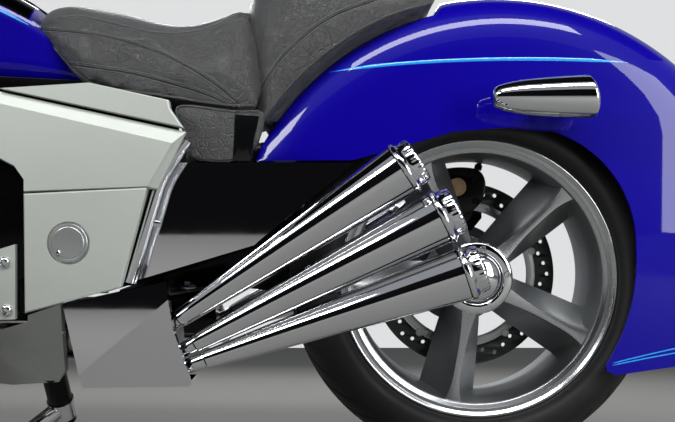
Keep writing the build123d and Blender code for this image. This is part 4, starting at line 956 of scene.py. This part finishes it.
piece("access_cap_keyholes", "chassis", "black_metal", black_steel, *keyholes)
piece("mount_plate_bolts", "chassis", "chrome", chrome, *bolts)

# Lower rails, bracket and frame
# The rails are cast aluminium, shot-blasted grey. The frame behind the covers is steel in satin black.
blasted = metal("blasted_cast_aluminium", "#8f918f", 0.5, (420, 420, 420), 0.00018, variation=0.1)
satin_black = metal("satin_black_frame_paint", "#101113", 0.38, (150, 150, 150), 0.00005, coat=0.2)
dress(blasted, "lower_rails")
dress(satin_black, "swingarm", "stand_bracket")

# Engine
# Crankcase and heads are cast aluminium in a clear blasted finish, even and soft. The head covers and runners are
# chromed, and the radiators are painted a dull black.
engine_casting = metal("engine_casting", "#6f7274", 0.42, (300, 300, 300), 0.0002, variation=0.08)
dress(engine_casting, "engine_block", "cylinder_heads", "final_drive")
dress(chrome, "head_covers", "intake_runners")
radiator_black = metal("radiator_black", "#0d0e10", 0.45, (220, 220, 220), 0.00005)
dress(radiator_black, "radiators")

# Frame crossbar
# The crossbar under the seat ends inside the pad's sides, so the frame's own mesh is shown with that bar's ends drawn
# in. Nothing else of the frame changes.
crossbar_place = np.array((550.0, 598.0))
crossbar_reach, crossbar_end = 14.0, 136.0
source = frame["nodes"]["main_frame"]
mesh = source.data.copy()
mesh.transform(source.matrix_world)
places = upright(vertices(mesh))
near_bar = np.linalg.norm(places[:, (0, 2)] - crossbar_place, axis=1) < crossbar_reach
ends = near_bar & (np.abs(places[:, 1]) > crossbar_end)
places[ends, 1] = np.sign(places[ends, 1]) * crossbar_end
place_vertices(mesh, parked(places))
mesh.materials.clear()
finished("frame_tubes", "chassis", satin_black, mesh, ("main_frame",))

# Seats
# Foam pads under black leather. The rider's is cut round the tank's tail and dished for the hips, with three welted
# seams, and the passenger's is a wedge on the fender, with one. Cloth with pressure inside fills both.
voxel = 0.006
inside_pressure = 4
swell_frames = 20
seat_shrink = 4
swell_cap = 0.007
seam_depth, seam_width = 2.6, 3.2
welt_radius, welt_lift = 1.5, -0.6
stitch_offsets = (3.6, -3.4)
block_size = 20000


def seat_rows(stations, width, low, high, tuck):
    """Half sections of a pad at its stations: flat underneath, tucked in above its lower edge, and a superellipse over
    the top, (y / width) ** 2.5 + (h / height) ** 2.5 = 1. They come as distances across and heights."""
    over = np.linspace(0, pi / 2, 26)[None, :]
    share = np.sin(over) ** 0.8
    across = width[:, None] * np.maximum(np.cos(over), 0) ** 0.8 - tuck * np.clip(1 - share / 0.3, 0, 1) ** 2
    across = np.maximum(across, 0)
    across[:, -1] = 0
    flat = np.linspace(0, 1, 9)[None, :-1] * across[:, :1]
    across = np.concatenate((flat, across), 1)
    share = np.concatenate((np.zeros((1, 8)), share), 1) * np.ones((len(stations), 1))
    height = low[:, None] + (high - low)[:, None] * share
    across = np.concatenate((across, -across[:, -2:0:-1]), 1)
    height = np.concatenate((height, height[:, -2:0:-1]), 1)
    return across, height


def swollen(name, grid):
    """The pad remeshed to an even skin, blown up as cloth with its movement capped, and subdivided once."""
    rough = piece(name, "chassis", "leather", leather, (grid, False, True))
    remesh = rough.modifiers.new("even_skin", "REMESH")
    remesh.mode = "VOXEL"
    remesh.voxel_size = voxel
    bake(rough)
    rest = vertices(rough.data)
    cloth = rough.modifiers.new("foam", "CLOTH")
    cloth.settings.use_pressure = True
    cloth.settings.uniform_pressure_force = inside_pressure
    cloth.settings.effector_weights.gravity = 0
    for moment in range(1, swell_frames + 1):
        scene.frame_set(moment)
    bake(rough)
    scene.frame_set(1)
    move = vertices(rough.data) - rest
    size = np.linalg.norm(move, axis=1, keepdims=True)
    place_vertices(rough.data, rest + move * np.minimum(1, swell_cap / np.maximum(size, 1e-9)))
    finer = rough.modifiers.new("finer", "SUBSURF")
    finer.levels = finer.render_levels = 1
    bake(rough)
    return rough


def bake(made):
    """Applies the modifiers of a piece to its own mesh."""
    evaluated = made.evaluated_get(bpy.context.evaluated_depsgraph_get())
    mesh = bpy.data.meshes.new_from_object(evaluated)
    made.modifiers.clear()
    made.data = mesh
    mesh.shade_smooth()
    bpy.context.view_layer.update()


def skin_finder(made):
    """Finds places on a piece's surface: from a start and a direction, upright, to the place hit and its normal."""
    corners = vertices(made.data) @ np.array(made.matrix_world)[:3, :3].T + np.array(made.matrix_world)[:3, 3]
    tree_of_faces = BVHTree.FromPolygons(
        [tuple(v) for v in corners], [tuple(face.vertices) for face in made.data.polygons]
    )

    def find(start, direction):
        heading = np.asarray(direction, float) @ axes
        hit = tree_of_faces.ray_cast(Vector(parked(start)), Vector(heading).normalized())
        if hit[0] is None:
            return None
        normal = np.array(hit[1])
        if normal @ heading > 0:
            normal = -normal
        return upright(np.array(hit[0])), axes @ normal

    return find


def seen_line(find, pixels, step=1.6, rounds=2):
    """Places and normals on a surface under a smooth line of the picture, seen from the camera's place."""
    places, normals = [], []
    for px, py in dense(softened(pixels, rounds), step):
        heading = (-(px - picture_centre[0]) / focal_pixels, -1, (picture_centre[1] - py) / focal_pixels)
        hit = find(view_place, heading)
        if hit:
            places.append(hit[0])
            normals.append(hit[1])
    return eased(np.array(places)), eased(np.array(normals))


def eased(values, times=3):
    """Evens a line of values out: each becomes the mean of itself and its neighbours."""
    values = values.copy()
    for _ in range(times):
        values[1:-1] = (values[:-2] + 2 * values[1:-1] + values[2:]) / 4
    return values


def cord_grid(places, normals, radius, lift=0.0):
    """A cord laid on a surface: rings of a normal and a crosswise radius, which close at both ends. There is a normal
    for each place, or one for all."""
    normals = np.broadcast_to(normals, places.shape)
    run = unit(np.gradient(places, axis=0))
    across = unit(np.cross(run, normals))
    rise = np.cross(across, run)
    turn = np.linspace(0, 2 * pi, 10, endpoint=False)[None, :, None]
    size = radius * np.ones(len(places))
    size[-2:] = (radius * 0.7, 0)
    size[:2] = (0, radius * 0.7)
    ring = np.cos(turn) * rise[:, None] + np.sin(turn) * across[:, None]
    return (places + normals * lift)[:, None] + ring * size[:, None, None], False, True


def stitch_grids(places, normals, offset, pitch=4.6, length=1.9, thick=0.62):
    """Stitches along a line on a surface, beside it by an offset: small ellipsoids a pitch apart."""
    distance = line_distance(places)
    wanted = np.arange(pitch, distance[-1] - pitch, pitch)
    at = at_distance(wanted, distance, places)
    rise = unit(at_distance(wanted, distance, normals))
    ahead = unit(at_distance(wanted + 1, distance, places) - at)
    across = np.cross(ahead, rise)
    polar_turn = np.linspace(0, pi, 5)[:, None, None]
    around = np.linspace(0, 2 * pi, 6, endpoint=False)[None, :, None]
    grids = []
    for centre, n, a, c in zip(at + across * offset + rise * 0.25, rise, ahead, across):
        ring = np.cos(around) * n + np.sin(around) * c
        grids.append((centre + np.cos(polar_turn) * a * length + np.sin(polar_turn) * ring * thick, False, True))
    return grids


def mirrored(grids):
    """The same grids on the machine's right side."""
    return [(grid[:, ::-1] * (1, -1, 1), rows, columns) for grid, rows, columns in grids]


# Full-grain hide, dyed black and pressed with a fine grain; its finish has worn to a soft gloss, with creases where
# it is sat on. The grain's cells are 1.5 mm, a little larger than real ones, so that they show.
leather, tree = new_material("black_full_grain_leather")
place = object_coordinates(tree)
warp = add_node(tree, "TexNoise", {"Vector": place, "Scale": 60, "Detail": 3})
warped = add_node(tree, "MixRGB", {"Fac": 0.012, "Color1": place, "Color2": warp.outputs["Color"]})
cells = add_node(tree, "TexVoronoi", {"Vector": warped, "Scale": 640}, feature="DISTANCE_TO_EDGE")
creases = add_node(tree, "TexVoronoi", {"Vector": warped, "Scale": 75}, feature="DISTANCE_TO_EDGE")
where = add_node(tree, "TexNoise", {"Vector": place, "Scale": 11, "Detail": 2})
worn = add_node(tree, "MapRange", {"Value": where, "From Min": 0.42, "From Max": 0.62})
depth = add_node(tree, "MapRange", {"Value": creases, "From Max": 0.09, "To Min": -1.0, "To Max": 0.0})
crease = add_node(tree, "Math", {0: depth, 1: worn}, operation="MULTIPLY")
grain = add_node(tree, "MapRange", {"Value": cells, "From Max": 0.25, "To Max": 0.35})
height = add_node(tree, "Math", {0: grain, 1: crease}, operation="ADD")
tone = add_node(tree, "ValToRGB", {"Fac": warp}, ramp=("#090a0b", "#17191b"))
gloss = add_node(tree, "MapRange", {"Value": where, "From Min": 0.3, "From Max": 0.7, "To Min": 0.34, "To Max": 0.46})
relief = add_node(tree, "Bump", {"Height": height, "Strength": 0.9, "Distance": 0.0011})
surface = add_node(tree, "BsdfPrincipled", {
    "Base Color": tone, "Roughness": gloss, "Specular IOR Level": 0.95, "Normal": relief,
    "Sheen Weight": 0.25, "Sheen Roughness": 0.4,
})
add_node(tree, "OutputMaterial", {"Surface": surface})
# Bonded polyester thread in grey: its fine twist breaks up the light
thread, tree = new_material("black_polyester_thread")
twist = add_node(tree, "TexNoise", {"Vector": object_coordinates(tree), "Scale": 1400, "Detail": 1})
shade = add_node(tree, "ValToRGB", {"Fac": twist}, ramp=("#5e6163", "#8e9193"))
surface = add_node(tree, "BsdfPrincipled", {"Base Color": shade, "Roughness": 0.45, "Sheen Weight": 0.3})
add_node(tree, "OutputMaterial", {"Surface": surface})

seat_x = np.linspace(357, 718, 74)
seat_high = np.interp(
    seat_x, (354, 360, 370, 377, 387, 399, 430, 465, 500, 536, 582, 629, 669, 700, 712, 720),
    (616, 674, 728, 758, 779, 768, 757, 747, 744, 749, 759, 769, 778, 775, 766, 752),
)
seat_low = np.interp(
    seat_x, (354, 388, 454, 521, 589, 629, 652, 676, 700, 720), (582, 578, 586, 597, 606, 621, 640, 667, 692, 714)
)
seat_wide = np.interp(
    seat_x, (354, 372, 430, 530, 600, 640, 680, 705, 716, 720), (143, 149, 153, 155, 154, 148, 136, 122, 110, 94)
)
seat_high = eased(seat_high, 2)
across, height = seat_rows(
    seat_x, seat_wide - seat_shrink, seat_low + seat_shrink, np.maximum(seat_high - seat_shrink, seat_low + 8), 4.0
)
dish = 9 * np.exp(-((seat_x - 480) / 70) ** 2)[:, None] * np.clip(1 - (np.abs(across) / 110) ** 2, 0, 1)
height = np.where(height > (seat_low + 40)[:, None], height - dish, height)
rider_rows = np.stack((np.broadcast_to(seat_x[:, None], across.shape), across, height), -1)

pad_turn = np.radians(np.linspace(33.2, 78.4, 60))
pad_out = np.interp(
    np.degrees(pad_turn), (31, 33.2, 37.3, 42, 47, 49.8, 54.6, 62, 70, 76.4, 78.6),
    (462, 474, 503, 552, 607, 629, 620, 575, 526, 490, 476),
)
pad_in = 447.5 + 26 * np.clip((pad_turn - radians(76)) / radians(3), 0, 1)
pad_wide = np.interp(np.degrees(pad_turn), (33, 38, 50, 65, 74, 78.6), (132, 138, 139, 136, 124, 104))
across, reach = seat_rows(
    pad_turn, pad_wide - seat_shrink, pad_in + 1, np.maximum(pad_out - seat_shrink, pad_in + 6), 8.0
)
pad_rows = round_fender(reach, pad_turn[:, None], across)

# Seams in the picture's own pixels, from the nose or the front back
side_seam = (
    (39, 28.8), (65, 30.6), (100, 34.4), (128, 41.4), (156, 50.5), (170, 56.8), (198, 71.5), (219, 85.5), (239, 103),
)
lower_seam = ((66.5, 63.1), (93, 66.6), (128, 71.5), (156, 78.5), (191, 88.4), (212, 95.4), (232, 106))
top_seam = ((60, 19), (78, 15.5), (100, 20.5), (128, 27.5), (156, 34), (188, 33.6), (212, 27.5), (236, 15))
pad_seam = ((259, 92), (268, 76), (282, 56), (297, 42), (311, 29), (331, 16), (347, 9), (368, 2), (392, -6), (420, -14))
seat_pads = (
    ("rider_seat", rider_rows, (side_seam, lower_seam, top_seam)),
    ("passenger_seat", pad_rows, (pad_seam,)),
)
welts, stitches = [], []
pad_finders = {}
for name, rows, seams in seat_pads:
    pad = swollen(name + "_pad", closed_ends(rows))
    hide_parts(name)
    find = pad_finders[name] = skin_finder(pad)
    lines = [seen_line(find, seam) for seam in seams]
    places = upright(vertices(pad.data))
    folded = places * (1, 0, 1) + np.abs(places) * (0, 1, 0)
    for line, normals in lines:
        gap = np.full(len(places), np.inf)
        nearest = np.zeros(len(places), int)
        for first in range(0, len(places), block_size):
            block = slice(first, first + block_size)
            span = np.linalg.norm(folded[block, None] - line[None, ::3], axis=2)
            gap[block], nearest[block] = span.min(1), span.argmin(1)
        inward = normals[::3][nearest] * np.sign(places[:, 1:2] + 1e-9) ** np.array((0, 1, 0))
        places = places - inward * (seam_depth * np.exp(-((gap / seam_width) ** 2)))[:, None]
    place_vertices(pad.data, parked(places))
    for line, normals in lines:
        cord = [cord_grid(line, normals, welt_radius, welt_lift)]
        row = sum((stitch_grids(line, normals, offset) for offset in stitch_offsets), [])
        welts += cord + mirrored(cord)
        stitches += row + mirrored(row)
piece("seat_welts", "chassis", "leather", leather, *welts)
piece("seat_stitches", "chassis", "leather", thread, *stitches)

# Edge piping
# A cord covered in the same hide along each seat's lower edge, sewn into the seam between its side and its base. The
# lines are cast onto the pads from a start outside the machine.
ray_start = 420.0
inwards = (0.0, -1.0, 0.0)
pipe_radius = 2.4
edge_x = np.linspace(364, 712, 110)
edge_low = np.interp(edge_x, seat_x, seat_low) + 10
pad_edge = round_fender(pad_in + 11, pad_turn, 0 * pad_turn)[2:-2, ::2]
edge_cords = []
for name, edge in (("rider_seat", np.stack((edge_x, edge_low), -1)), ("passenger_seat", pad_edge)):
    hits = [pad_finders[name]((x, ray_start, z), inwards) for x, z in edge]
    places = eased(np.array([hit[0] for hit in hits if hit]), 4)
    normals = eased(np.array([hit[1] for hit in hits if hit]), 8)
    edge_cords.append(cord_grid(places, normals, pipe_radius, 0.6))
piece("seat_piping", "chassis", "leather", leather, *edge_cords, *mirrored(edge_cords))

# Leather skirts
# A flap of the same hide on a stiff board below each side of the seat, piped along its front and top, with a glossy
# vinyl strip down its rear edge.
skirt_outline = softened([
    (478, 570), (462, 540), (459, 527), (459.5, 497), (362, 497), (336, 576), (382, 571), (413, 575), (470, 583),
], 2, True)
skirts = [slab(skirt_outline, 178.5, 188.5, 4)]
strip_outline = [(388, 568), (391, 498), (364, 498), (351, 566)]
strips = [slab(dense(strip_outline + strip_outline[:1], 6)[:-1], 186, 189.6, 1.4)]
piped_edge = dense(softened([
    (459.5, 499), (459, 527), (462, 540), (478, 569), (470, 582), (413, 574), (382, 570.5), (351, 572),
], 2), 2.5)
skirt_cords = [cord_grid(np.insert(piped_edge, 1, 187.5, axis=1), sideways, 2.1)]
# Calendered vinyl: a smooth black film with a high gloss and a slight ripple
glossy_vinyl, tree = new_material("glossy_black_vinyl")
ripple = add_node(tree, "TexNoise", {"Vector": object_coordinates(tree), "Scale": 70, "Detail": 3})
gloss = add_node(tree, "MapRange", {"Value": ripple, "To Min": 0.1, "To Max": 0.24})
relief = add_node(tree, "Bump", {"Height": ripple, "Strength": 0.3, "Distance": 0.0012})
surface = add_node(tree, "BsdfPrincipled", {"Base Color": linear("#08090a"), "Roughness": gloss, "Normal": relief})
add_node(tree, "OutputMaterial", {"Surface": surface})
piece("skirt_panels", "chassis", "leather", leather, *skirts, *mirrored(skirts), replaces=("seat_skirts",))
piece("skirt_strips", "chassis", "leather", glossy_vinyl, *strips, *mirrored(strips))
piece("skirt_piping", "chassis", "leather", leather, *skirt_cords, *mirrored(skirt_cords))

# Rear signals
# Chrome bullets on short stalks, each closed by a ribbed clear lens on a rear end that is cut aslant.
signal_nose = np.array((2.0, 172.0, 596.0))
signal_cut = 0.17


def aslant(grid):
    """Leans the rear of a lamp forward at its top, by a share that grows along the lamp."""
    share = np.clip((signal_nose[0] - grid[..., 0] - 90) / 55, 0, 1)
    moved = grid.copy()
    moved[..., 0] += signal_cut * (grid[..., 2] - signal_nose[2]) * share
    return moved


# Moulded polycarbonate, clear: prisms and facets in its back break up what shows through it
clear_plastic, tree = new_material("clear_polycarbonate")
place = object_coordinates(tree)
prism = add_node(tree, "TexWave", {"Vector": place, "Scale": 110, "Distortion": 0.6}, bands_direction="Y")
facets = add_node(tree, "TexVoronoi", {"Vector": place, "Scale": 260})
ridged = add_node(tree, "Math", {0: prism.outputs["Fac"], 1: facets.outputs["Distance"]}, operation="ADD")
relief = add_node(tree, "Bump", {"Height": ridged, "Strength": 0.6, "Distance": 0.0012})
surface = add_node(tree, "BsdfPrincipled", {
    "Base Color": linear("#e9eeea"), "Roughness": 0.06, "IOR": 1.58, "Transmission Weight": 0.75, "Normal": relief,
})
add_node(tree, "OutputMaterial", {"Surface": surface})
bullet = softened([
    (0, 0), (0.2, 7), (3, 13), (9, 17.5), (22, 21.5), (44, 26), (80, 29.5), (120, 32), (148, 33), (150, 32.4),
    (150, 30.6), (146, 30),
], 2)
bullet = np.vstack((bullet, [(146, 0)]))
lens = softened([(146.5, 29.8), (150.5, 30.4), (153, 29), (157, 20), (158.6, 8)], 2)
lens = np.vstack(([(146.2, 0), (146.2, 29.8)], lens, [(158.8, 0)]))
stalk = [(0, 0), (0, 15), (3, 13), (8, 12), (30, 12), (30, 0)]
bullets, lenses = [], []
for side in (1, -1):
    nose = signal_nose * (1, side, 1)
    bullets.append((aslant(turned(bullet, nose, (-1, 0, 0))), True, False))
    lenses.append((aslant(turned(lens, nose, (-1, 0, 0))), True, False))
    bullets.append(spun(stalk, (-80, side * 114, 596), (0, side, 0), 40))
piece("rear_signal_bullets", "chassis", "chrome", chrome, *bullets, replaces=("rear_signals",))
piece("rear_signal_lenses", "chassis", None, clear_plastic, *lenses)

# Tank
# The tank keeps its CAD shell under candy paint. A pinstripe runs along its shoulder, a black panel covers its top as
# far as the console, and a black rubber band along its lower edge is painted shadow, the shade where the tank turns
# under.
dress(candy_blue, "fuel_tank")
dress(chrome, "tank_console")
find_tank = skin_finder(frame["nodes"]["fuel_tank"])
tank_middle = 640.0
sheet_sink = 0.6


def laid_sheet(find, starts, directions, lift):
    """A thin sheet on a surface: each grid place is cast onto it and lifted, and the rim is sunk to close it."""
    rows = []
    for start_row, direction_row in zip(starts, np.broadcast_to(directions, starts.shape)):
        row = []
        for start, direction in zip(start_row, direction_row):
            hit = find(start, direction)
            row.append(hit if hit else row[-1])
        rows.append(row)
    places = np.array([[hit[0] for hit in row] for row in rows])
    normals = np.array([[hit[1] for hit in row] for row in rows])
    grid = np.pad(places - normals * sheet_sink, ((1, 1), (1, 1), (0, 0)), mode="edge")
    grid[1:-1, 1:-1] = places + normals * lift
    return grid, False, False


stripe_line = dense(softened([
    (722, 719), (773, 745), (860, 779), (980, 803), (1100, 812), (1180, 808), (1236, 790),
], 3), 6)
rising = np.clip(np.linspace(0, 1, len(stripe_line)) * 12, 0.1, 1)
stripe_half = 2.4 * np.sqrt(rising * rising[::-1])
starts = np.array([
    [(x, ray_start, z + half * offset) for offset in (-1, 0, 1)] for (x, z), half in zip(stripe_line, stripe_half)
])
tank_stripes = [laid_sheet(find_tank, starts, inwards, stripe_lift)]
piece("tank_pinstripes", "chassis", "paint", stripe_paint, *tank_stripes, *mirrored(tank_stripes))

panel_x = np.linspace(722.0, 1246, 60)
edge_z = np.interp(panel_x, stripe_line[:, 0], stripe_line[:, 1]) + 9
edge_y = np.array([find_tank((x, ray_start, z), inwards)[0][1] for x, z in zip(panel_x, edge_z)])
first_turn = np.arctan2(edge_z - tank_middle, edge_y)
turns = first_turn[:, None] + (radians(84) - first_turn[:, None]) * np.linspace(0, 1, 22)
around = np.stack((0 * turns, np.cos(turns), np.sin(turns)), -1)
starts = around * ray_start + np.stack((panel_x, 0 * panel_x, 0 * panel_x + tank_middle), -1)[:, None]
panels = [laid_sheet(find_tank, starts, -around, 0.6)]
piece("tank_top_panels", "chassis", "paint", black_enamel, *panels, *mirrored(panels))

# A black rubber band along the tank's lower edge: painted shadow, the shade under the tank's lower corner above the
# rail.
tank_shadow_x = np.linspace(628.0, 1000, 90)
tank_shadow_low = np.interp(tank_shadow_x, (622, 860, 930, 1000), (618, 618, 624, 636))
starts = np.array([[(x, ray_start, low + rise) for rise in np.linspace(4, 19, 6)] for x, low in zip(tank_shadow_x, tank_shadow_low)])
tank_shadow_bands = [laid_sheet(find_tank, starts, inwards, 1.6)]
piece("tank_lower_painted_shadow", "chassis", "black_plastic", rubber, *tank_shadow_bands, *mirrored(tank_shadow_bands))

# Filler cap
# A low cap of spun aluminium on the console, with a stepped rim and a small key flap.
cap_up = np.array((-0.17, 0, 0.985))
cap_foot = np.array((1000.0, 0, 866.0))
cap_profile = [(0, 0), (0, 36), (3, 36), (4.5, 34.5), (4.5, 32), (7, 31), (9.5, 28), (10.5, 20), (10.7, 0)]
cap = spun(cap_profile, cap_foot, cap_up, 72)
flap = spun([(9, 0), (9, 9), (12, 9), (12.8, 7.5), (13, 0)], cap_foot + (-6, 0, -1), cap_up, 40)
piece("filler_cap", "chassis", "chrome", spun_cap, cap, flap)

# Tail lamp
# Red acrylic over the fender's tail, ribbed inside, with a chrome bead along its edges.
red_acrylic, tree = new_material("red_acrylic")
ribs = add_node(tree, "TexWave", {"Vector": object_coordinates(tree), "Scale": 60}, bands_direction="Y")
relief = add_node(tree, "Bump", {"Height": ribs.outputs["Fac"], "Strength": 0.35, "Distance": 0.0012})
surface = add_node(tree, "BsdfPrincipled", {
    "Base Color": linear("#8e0a10"), "Roughness": 0.08, "IOR": 1.49, "Normal": relief,
    "Coat Weight": 1.0, "Coat Roughness": 0.03,
})
add_node(tree, "OutputMaterial", {"Surface": surface})
dress(red_acrylic, "tail_lamp")
lamp_edge = [(-474, 540.6), (-482, 560), (-446.5, 615.4), (-421, 621.6)]
lamp_line = dense(softened(lamp_edge, 1), 3)
bead_radius = 2.0
beads = []
for side in (1, -1):
    beads.append(cord_grid(np.insert(lamp_line, 1, side * 65.2, axis=1), (0, side, 0), bead_radius))
for x, z in lamp_line[[0, -1]]:
    places = np.stack((np.full(30, x), np.linspace(-65, 65, 30), np.full(30, z)), -1)
    beads.append(cord_grid(places, (-1, 0, 0), bead_radius))
piece("tail_lamp_beads", "chassis", "chrome", chrome, *beads)

# Blank plate
# A plate in white enamel, smooth with a soft gloss, on a black bracket. Two screws hold it, and it stays blank.
plate_paint = metal("white_plate_enamel", "#dcdcd6", 0.35, (200, 200, 200), 0.00002, coat=0.3)
dress(plate_paint, "plate_holder")
bracket = slab([(-488, 329), (-529, 329), (-529, 343), (-488, 343)], -13, 13, 1.5)
piece("plate_bracket", "chassis", "black_plastic", satin_black, bracket)
plate_screws = [screw((-522.5, y, 268), (-1, 0, 0.07), 5, 1.6) for y in (-60, 60)]
piece("plate_screws", "chassis", "chrome", spun_cap, *plate_screws)

# Pegs and pedals
# Ribbed rubber pegs with chrome end caps, and chromed pedals.
dress(rubber, "footpegs")
dress(chrome, "foot_controls")
peg_place = np.array((748.0, 345.0, 228.0))
peg_end = np.vstack(([(-3, 0)], softened([(-3, 18.5), (1, 19), (3, 17), (4.5, 10), (5, 0)], 1)))
peg_ends = [spun(peg_end, peg_place * (1, side, 1), (0, side, 0), 48) for side in (1, -1)]
piece("peg_end_caps", "chassis", "chrome", chrome, *peg_ends)

# Fork
# Chromed tubes and sliders with rubber dust seals, between cast clamps with pinch bolts.
trail = 140
fork_half = 125
forward_of_fork = np.array((cos(rake), 0, sin(rake)))
head_ground = np.array((front_axle[0] + trail, 0, 0))
dress(chrome, "fork_legs")
dress(blasted, "triple_clamps")
seal_profile = softened([(313, 33), (316, 36.5), (322, 37.2), (334, 37), (338, 33), (342, 28), (343, 26.4)], 1)
seal_profile = np.vstack(([(313, 30)], seal_profile, [(343, 25)]))
cap_profile = [(645, 0), (645, 24), (650, 24), (652, 21.5), (654, 13), (654, 0)]
seals, fork_caps, pinch_bolts = [], [], []
for side in (1, -1):
    foot = front_axle * (1, 0, 1) + (0, side * fork_half, 0)
    seals.append(spun(seal_profile, foot, fork_up, 64, True))
    fork_caps.append(spun(cap_profile, foot, fork_up, 6))
    for length in (786, 969):
        place = head_ground + fork_up * length + forward_of_fork * 40.5 + (0, side * (fork_half - 8), 0)
        pinch_bolts.append(screw(place, forward_of_fork, 6.5, 5))
piece("fork_dust_seals", "front_end", "black_plastic", rubber, *seals)
piece("fork_top_caps", "front_end", "chrome", spun_cap, *fork_caps)
piece("clamp_pinch_bolts", "front_end", "black_metal", blued_steel, *pinch_bolts)

# Headlamp
# A chromed bowl with a deep reflector, a hooded bulb and a domed glass.
lamp_place = head_ground + fork_up * 877.5 + (141.0, 0, 33)
ahead = (1, 0, 0)
bowl = np.vstack((
    [(-66, 0), (-66, 30)], softened([(-64, 34), (-50, 58), (-20, 79), (20, 88), (70, 95)], 2),
    [(84, 95), (87, 93.5), (87, 90)], softened([(80, 89), (60, 80), (30, 58), (8, 24), (4, 0)], 3),
))
arm_foot = head_ground + fork_up * 786 + forward_of_fork * 40
hood = np.vstack(([(4, 0), (4, 7)], softened([(34, 7), (36, 14), (48, 14), (55, 8), (56, 0)], 2)))
piece(
    "headlamp_bowl", "front_end", "chrome", chrome, spun(bowl, lamp_place, ahead),
    spun(rod(0, 60, 11), arm_foot, forward_of_fork, 40), spun(hood, lamp_place, ahead, 48), replaces=("headlamp",),
)
# Pressed lamp glass, clear and smooth
glass, tree = new_material("lamp_glass")
surface = add_node(tree, "BsdfPrincipled", {
    "Base Color": linear("#f4f8f7"), "Roughness": 0.02, "IOR": 1.52, "Transmission Weight": 1.0,
})
add_node(tree, "OutputMaterial", {"Surface": surface})
dome = np.vstack((
    softened([(85, 90), (92, 80), (100, 55), (105, 25), (106, 0)], 3),
    softened([(103.5, 0), (102.5, 25), (97.5, 53), (89.5, 78), (83, 88)], 3),
))
piece("headlamp_glass", "front_end", None, glass, spun(dome, lamp_place, ahead))

# Instruments
# Two clocks in black cups with chrome bezels; their faces have plain ticks and a red needle.
dress(satin_black, "instruments")
clamp_top = head_ground + fork_up * 982
# Dial paints in black, white and red, printed flat with hardly any gloss
face_paint = metal("matt_black_dial", "#0b0b0c", 0.6, (300, 300, 300), 0.00001)
mark_paint = metal("white_dial_marks", "#e8e8e2", 0.5, (300, 300, 300), 0.00001)
needle_paint = metal("red_needle", "#b81a12", 0.45, (300, 300, 300), 0.00001)
clock_steps, clock_start, clock_sweep, needle_turn = 24, -40, 260, -36
bezel = [(42, 40.2), (46, 40.8), (48.5, 39.5), (48.5, 36), (46.5, 34.6), (42.8, 34.6)]
needle = [(-8, -1.6), (27, -0.5), (27, 0.5), (-8, 1.6)]


def on_dial(corners, low, high, rounding, degrees, middle):
    """A small plate on a clock's face, which points away from its middle at a turn in degrees."""
    out = (0, cos(radians(degrees)), 0) + sin(radians(degrees)) * forward_of_fork
    return slab(corners, low, high, rounding, (out, fork_up, np.cross(fork_up, out)), middle)


bezels, faces, marks, needles = [], [], [], []
for side in (1, -1):
    base = clamp_top + forward_of_fork * 62 + fork_up * 6 + (0, side * 45, 0)
    bezels.append(spun(bezel, base, fork_up, ring=True))
    faces.append(spun(rod(42.6, 43.4, 35.2), base, fork_up))
    top = base + fork_up * 43.4
    for tick in range(clock_steps + 1):
        inner, half = (25, 1.1) if tick % 4 == 0 else (28, 0.55)
        corners = [(inner, -half), (32, -half), (32, half), (inner, half)]
        marks.append(on_dial(corners, 0, 0.5, 0.05, clock_start + tick * clock_sweep / clock_steps, top))
    needles.append(on_dial(needle, 0.8, 1.8, 0.1, needle_turn, top))
    needles.append(spun([(0, 0), (0, 4), (2.6, 3.6), (2.8, 0)], top, fork_up, 32))
piece("clock_bezels", "front_end", "chrome", chrome, *bezels)
piece("clock_faces", "front_end", "black_plastic", face_paint, *faces)
piece("clock_marks", "front_end", "black_plastic", mark_paint, *marks)
piece("clock_needles", "front_end", "red_lens", needle_paint, *needles)

# Bar controls
# Rubber grips, chrome levers, and round mirrors with their glass set in a rim.
dress(rubber, "grips")
dress(chrome, "levers", "mirrors")
bar_middle = head_ground + fork_up * 1030
mirror_place = np.array((bar_middle[0] - 191, 400, 1088))
# Silvered glass: a clean mirror, slightly blue
mirror_glass, tree = new_material("silvered_glass")
surface = add_node(tree, "BsdfPrincipled", {"Base Color": linear("#d5dbe0"), "Metallic": 1.0, "Roughness": 0.02})
add_node(tree, "OutputMaterial", {"Surface": surface})
mirror_ahead = (1, -0.12, 0)
pane = [(0.6, 0), (0.6, 59.2), (-0.8, 59.2), (-1.2, 58.6), (-1.2, 0)]
panes = [spun(pane, mirror_place, mirror_ahead)]
piece("mirror_panes", "front_end", "brake_steel", mirror_glass, *panes, *mirrored(panes))

# Front signals
# Chrome cups on the fork tubes, each with a clear lens at its front.
dress(chrome, "front_signals")
fork_place = front_axle * (1, 0, 1) + fork_up * 520 + forward_of_fork * 10
signal_middle = np.array((fork_place[0] + 30, fork_half + 78, fork_place[2]))
lens = np.vstack(([(43, 0), (43, 31)], softened([(46, 31.5), (50, 29.5), (55, 20), (56.5, 0)], 2)))
front_lenses = [spun(lens, signal_middle, ahead, 72)]
piece("front_signal_lenses", "front_end", None, clear_plastic, *front_lenses, *mirrored(front_lenses))
